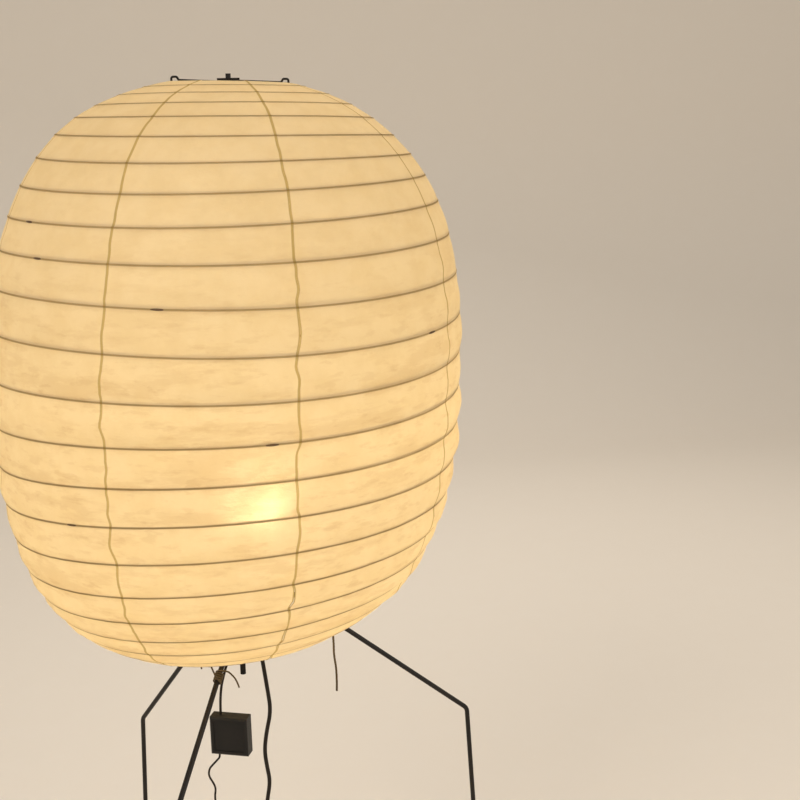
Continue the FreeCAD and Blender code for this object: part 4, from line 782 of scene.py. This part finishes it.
def mains_cable(material):
    """The whole mains lead: down from the hub, along the floor, six put-away turns, the plug."""
    centre = from_axis([COIL_PLACE])[0]
    reach = COIL_RADIUS / math.cos(math.pi / COIL_POINTS)

    def coil(turns):
        angle = np.pi - 2 * np.pi * np.asarray(turns, float)
        return np.stack([centre[0] + reach * np.cos(angle), centre[1] + reach * np.sin(angle),
                         centre[2] + COIL_PITCH * np.asarray(turns, float)], -1)

    start_way = np.array([0.0, 2 * math.pi * COIL_RADIUS, COIL_PITCH])
    start_way /= np.linalg.norm(start_way)
    start = centre + [-COIL_RADIUS, 0, 0]
    end = start + [0, 0, COIL_PITCH * COIL_TURNS]
    turns = np.arange(COIL_POINTS * COIL_TURNS) / COIL_POINTS + 0.5 / COIL_POINTS
    points = np.vstack([from_axis(LEAD_ROUTE), *(start - start_way * run for run in COIL_RUN_IN),
                        coil(turns), *(end + start_way * run for run in COIL_RUN_OUT),
                        from_axis(LEAD_TAIL)])
    cable = nurbs("mains_cable", points, LEAD_DIAMETER, material, "frame")
    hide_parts("mains_lead", "mains_coil", "plug_lead")
    length = line_length(curve_line(cable))
    return length


def thin_cords(material):
    """The thin lead to the switch, and the pull cord under it."""
    lead_top = np.array(THIN_END)
    above = np.array([lead_top[0], lead_top[1], lead_top[2] + THIN_DROP])
    points = np.vstack([from_axis(THIN_ROUTE), above, lead_top])
    lead = nurbs("switch_cable", points, THIN_LEAD_DIAMETER, material, "frame")
    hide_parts("switch_lead")
    length = line_length(curve_line(lead))
    rod_low, rod_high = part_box("pull_rod")
    foot = np.array([(rod_low[0] + rod_high[0]) / 2, (rod_low[1] + rod_high[1]) / 2, rod_low[2]])
    route = [foot - [0, 0, PULL_START], foot - [0, 0, PULL_STRAIGHT]] + [
        np.array([x * MM + AXIS[0], foot[1], z * MM]) for x, z in PULL_ROUTE]
    pull = nurbs("pull_string", route, PULL_CORD_DIAMETER, material, "pull")
    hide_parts("pull_cord")
    line_length(curve_line(pull))
    return length


# ------------------------------------------------------------------ finishes of the kept solids
def dress(name, material):
    """A kept solid takes a finished material."""
    data = NODES[name].data
    data.materials.clear()
    data.materials.append(material)
    data.polygons.foreach_set("material_index", [0] * len(data.polygons))


BULB_GLOW = 6.0
BULB_GLOW_COLOUR = (1.0, 0.80, 0.50, 1)


def bulb_glow():
    """Frosted glass that glows."""
    material = handled("frosted_bulb", (1.0, 0.92, 0.78), (1.0, 0.9, 0.74), 0.1, 500.0, 0.35)
    shader = material.node_tree.nodes["Principled BSDF"]
    shader.inputs["Emission Color"].default_value = BULB_GLOW_COLOUR
    shader.inputs["Emission Strength"].default_value = BULB_GLOW
    return material


LAMP_POWER = 10.0
LAMP_COLOUR = (1.0, 0.80, 0.47)
LAMP_RADIUS = 29.5 * MM
LAMP_ASIDE = np.array([2.5, -3.0, -4.0]) * MM


def lamp_inside():
    """The bulb's light: a soft globe round the glass, set a little aside of the bulb's centre."""
    data = bpy.data.lights.new("bulb_light", "POINT")
    data.energy = LAMP_POWER
    data.color = LAMP_COLOUR
    data.shadow_soft_size = LAMP_RADIUS
    lamp = bpy.data.objects.new("bulb_light", data)
    lamp.location = BULB_CENTRE + LAMP_ASIDE
    bpy.context.scene.collection.objects.link(lamp)


# ------------------------------------------------------------------ floor, backdrop and studio light
FLOOR_COLOUR = (0.86, 0.81, 0.74)
BACKDROP_COLOUR = (0.84, 0.78, 0.70)
LIGHT_COLOUR = (1.0, 0.93, 0.84)
WORLD_STRENGTH = 0.45
AIM = Vector((0, 0, 0.8))
# studio lamps: name, place, size in metres and power in watts
STUDIO = (("key", (-1.8, -2.2, 2.6), 1.8, 50.0), ("fill", (2.4, -1.8, 1.8), 1.8, 30.0),
          ("back", (0.8, 2.4, 2.8), 1.6, 34.0))


def stage():
    """A pale floor that sweeps up into a pale backdrop, and soft light from three sides."""
    bend = np.linspace(0, np.pi / 2, 24)[1:]
    depth = np.concatenate([np.linspace(-6, 3.0, 10), 3.0 + 1.2 * np.sin(bend), np.full(8, 4.2)])
    rise = np.concatenate([np.zeros(10), 1.2 - 1.2 * np.cos(bend), np.linspace(1.4, 6.0, 8)])
    wide = np.linspace(-7, 7, 8)
    points = np.stack([np.broadcast_to(wide, (len(depth), 8)), np.repeat(depth[:, None], 8, 1),
                       np.repeat(rise[:, None], 8, 1)], -1)
    mesh = bpy.data.meshes.new("sweep")
    mesh.from_pydata(points.reshape(-1, 3).tolist(), [], grid_faces(len(depth), 8).tolist())
    mesh.polygons.foreach_set("use_smooth", [True] * len(mesh.polygons))
    mesh.materials.append(handled("backdrop", BACKDROP_COLOUR, FLOOR_COLOUR, 0.15, 30.0, 0.9, 0.05,
                                  0.02))
    sweep = bpy.data.objects.new("sweep", mesh)
    bpy.context.scene.collection.objects.link(sweep)
    for name, place, size, power in STUDIO:
        data = bpy.data.lights.new(name, "AREA")
        data.energy = power
        data.size = size
        data.color = LIGHT_COLOUR
        lamp = bpy.data.objects.new(name, data)
        lamp.location = place
        aim = AIM - Vector(place)
        lamp.rotation_euler = aim.to_track_quat("-Z", "Y").to_euler()
        bpy.context.scene.collection.objects.link(lamp)
    world = bpy.data.worlds.new("world")
    world.use_nodes = True
    world.node_tree.nodes["Background"].inputs[0].default_value = (*LIGHT_COLOUR, 1)
    world.node_tree.nodes["Background"].inputs[1].default_value = WORLD_STRENGTH
    bpy.context.scene.world = world
    bpy.context.scene.view_settings.view_transform = "Standard"


# ------------------------------------------------------------------ build
make_camera()
BLACK_METAL = handled("black_lacquered_rod", (0.007, 0.005, 0.004), (0.032, 0.023, 0.015),
                      0.3, 700.0, 0.42, 0.14, 0.25, coat=0.1, shine=0.25)
BLACK_WIRE = handled("black_wire", (0.006, 0.005, 0.004), (0.03, 0.023, 0.016),
                     0.3, 1200.0, 0.45, 0.12, 0.2, shine=0.25)
RUBBER = handled("black_rubber", (0.010, 0.009, 0.008), (0.035, 0.032, 0.03),
                 0.3, 1600.0, 0.8, 0.1, 0.3, shine=0.25)
CORD = handled("dark_cord_sheath", (0.012, 0.008, 0.005), (0.045, 0.032, 0.02),
               0.25, 1400.0, 0.5, 0.12, 0.2, shine=0.25)
BAMBOO = handled("split_bamboo", (0.42, 0.25, 0.10), (0.24, 0.13, 0.05), 0.5, 420.0, 0.55, 0.15, 0.3)
DARK_BAMBOO = handled("bamboo_splice", (0.10, 0.055, 0.022), (0.2, 0.12, 0.05),
                      0.3, 500.0, 0.6, 0.1, 0.3)
STRING = handled("olive_string", (0.085, 0.055, 0.020), (0.16, 0.11, 0.05),
                 0.5, 1500.0, 0.85, 0.1, 0.5)
BRASS = handled("dull_brass", (0.60, 0.42, 0.16), (0.42, 0.28, 0.10),
                0.4, 800.0, 0.35, 0.15, 0.15, 1.0)
STEEL = handled("zinc_steel", (0.56, 0.56, 0.55), (0.38, 0.37, 0.35),
                0.35, 900.0, 0.38, 0.15, 0.15, 1.0)
HOLDER = handled("moulded_holder", (0.03, 0.028, 0.026), (0.08, 0.075, 0.07),
                 0.25, 1100.0, 0.45, 0.1, 0.15)
CERAMIC = handled("unglazed_ceramic", (0.78, 0.75, 0.68), (0.62, 0.58, 0.5),
                  0.3, 600.0, 0.8, 0.08, 0.2)
CAP_METAL = handled("bulb_cap_metal", (0.72, 0.72, 0.71), (0.5, 0.5, 0.48),
                    0.3, 700.0, 0.32, 0.12, 0.1, 1.0)
BLACK_GLASS = handled("black_glass", (0.012, 0.012, 0.016), (0.03, 0.03, 0.035),
                      0.2, 600.0, 0.2, 0.08, 0.05)
BOX_PLASTIC = handled("switch_box_plastic", (0.008, 0.007, 0.006), (0.03, 0.025, 0.02),
                      0.3, 1300.0, 0.45, 0.14, 0.3, shine=0.25)
PLUG_PLASTIC = handled("plug_plastic", (0.022, 0.021, 0.02), (0.06, 0.058, 0.055),
                       0.25, 1300.0, 0.5, 0.12, 0.2)
STRAP = handled("strap_plastic", (0.02, 0.02, 0.02), (0.06, 0.06, 0.06),
                0.2, 1500.0, 0.6, 0.1, 0.2)
NICKEL = handled("nickel_pins", (0.7, 0.69, 0.66), (0.5, 0.48, 0.45),
                 0.25, 900.0, 0.22, 0.1, 0.08, 1.0)
FINISHES = (
    (BLACK_METAL, ("leg_right", "leg_rear", "leg_front", "stem", "hub", "stem_washer", "saddle",
                   "finial_nut")),
    (BLACK_WIRE, ("top_ring", "bottom_ring", "crosswire")),
    (RUBBER, ("foot_tips", "stem_tip", "lead_bush")),
    (BAMBOO, ("spiral_rib",)),
    (BRASS, ("nipple", "nipple_nut", "contact_tongue", "thread_sleeve")),
    (STEEL, ("leg_screw_right", "leg_screw_rear", "leg_screw_front", "stem_screw", "box_screws",
             "return_spring", "bulb_contact")),
    (HOLDER, ("holder_base", "holder_shell")),
    (CERAMIC, ("contact_plate",)),
    (CAP_METAL, ("bulb_cap",)),
    (BLACK_GLASS, ("bulb_insulator",)),
    (PLUG_PLASTIC, ("plug_body", "plug_boot")),
    (NICKEL, ("plug_pins",)),
    (STRAP, ("coil_tie",)),
    (BOX_PLASTIC, ("box_front", "box_back", "switch_block", "pull_rod", "pull_bead")),
)
for material, names in FINISHES:
    for node in names:
        dress(node, material)
dress("bulb_glass", bulb_glow())
PAPER = paper_material()
for gore in range(GORES):
    paper_gore(gore, PAPER)
for number, (angle, level) in enumerate(SPLICES, start=1):
    rib_splice(number, angle, level, DARK_BAMBOO)
for leg in TIES:
    string_tie(leg, STRING)
lead_length = mains_cable(CORD)
thin_length = thin_cords(CORD)
print("mains lead %.3f m, switch lead %.3f m" % (lead_length, thin_length))
lamp_inside()
stage()
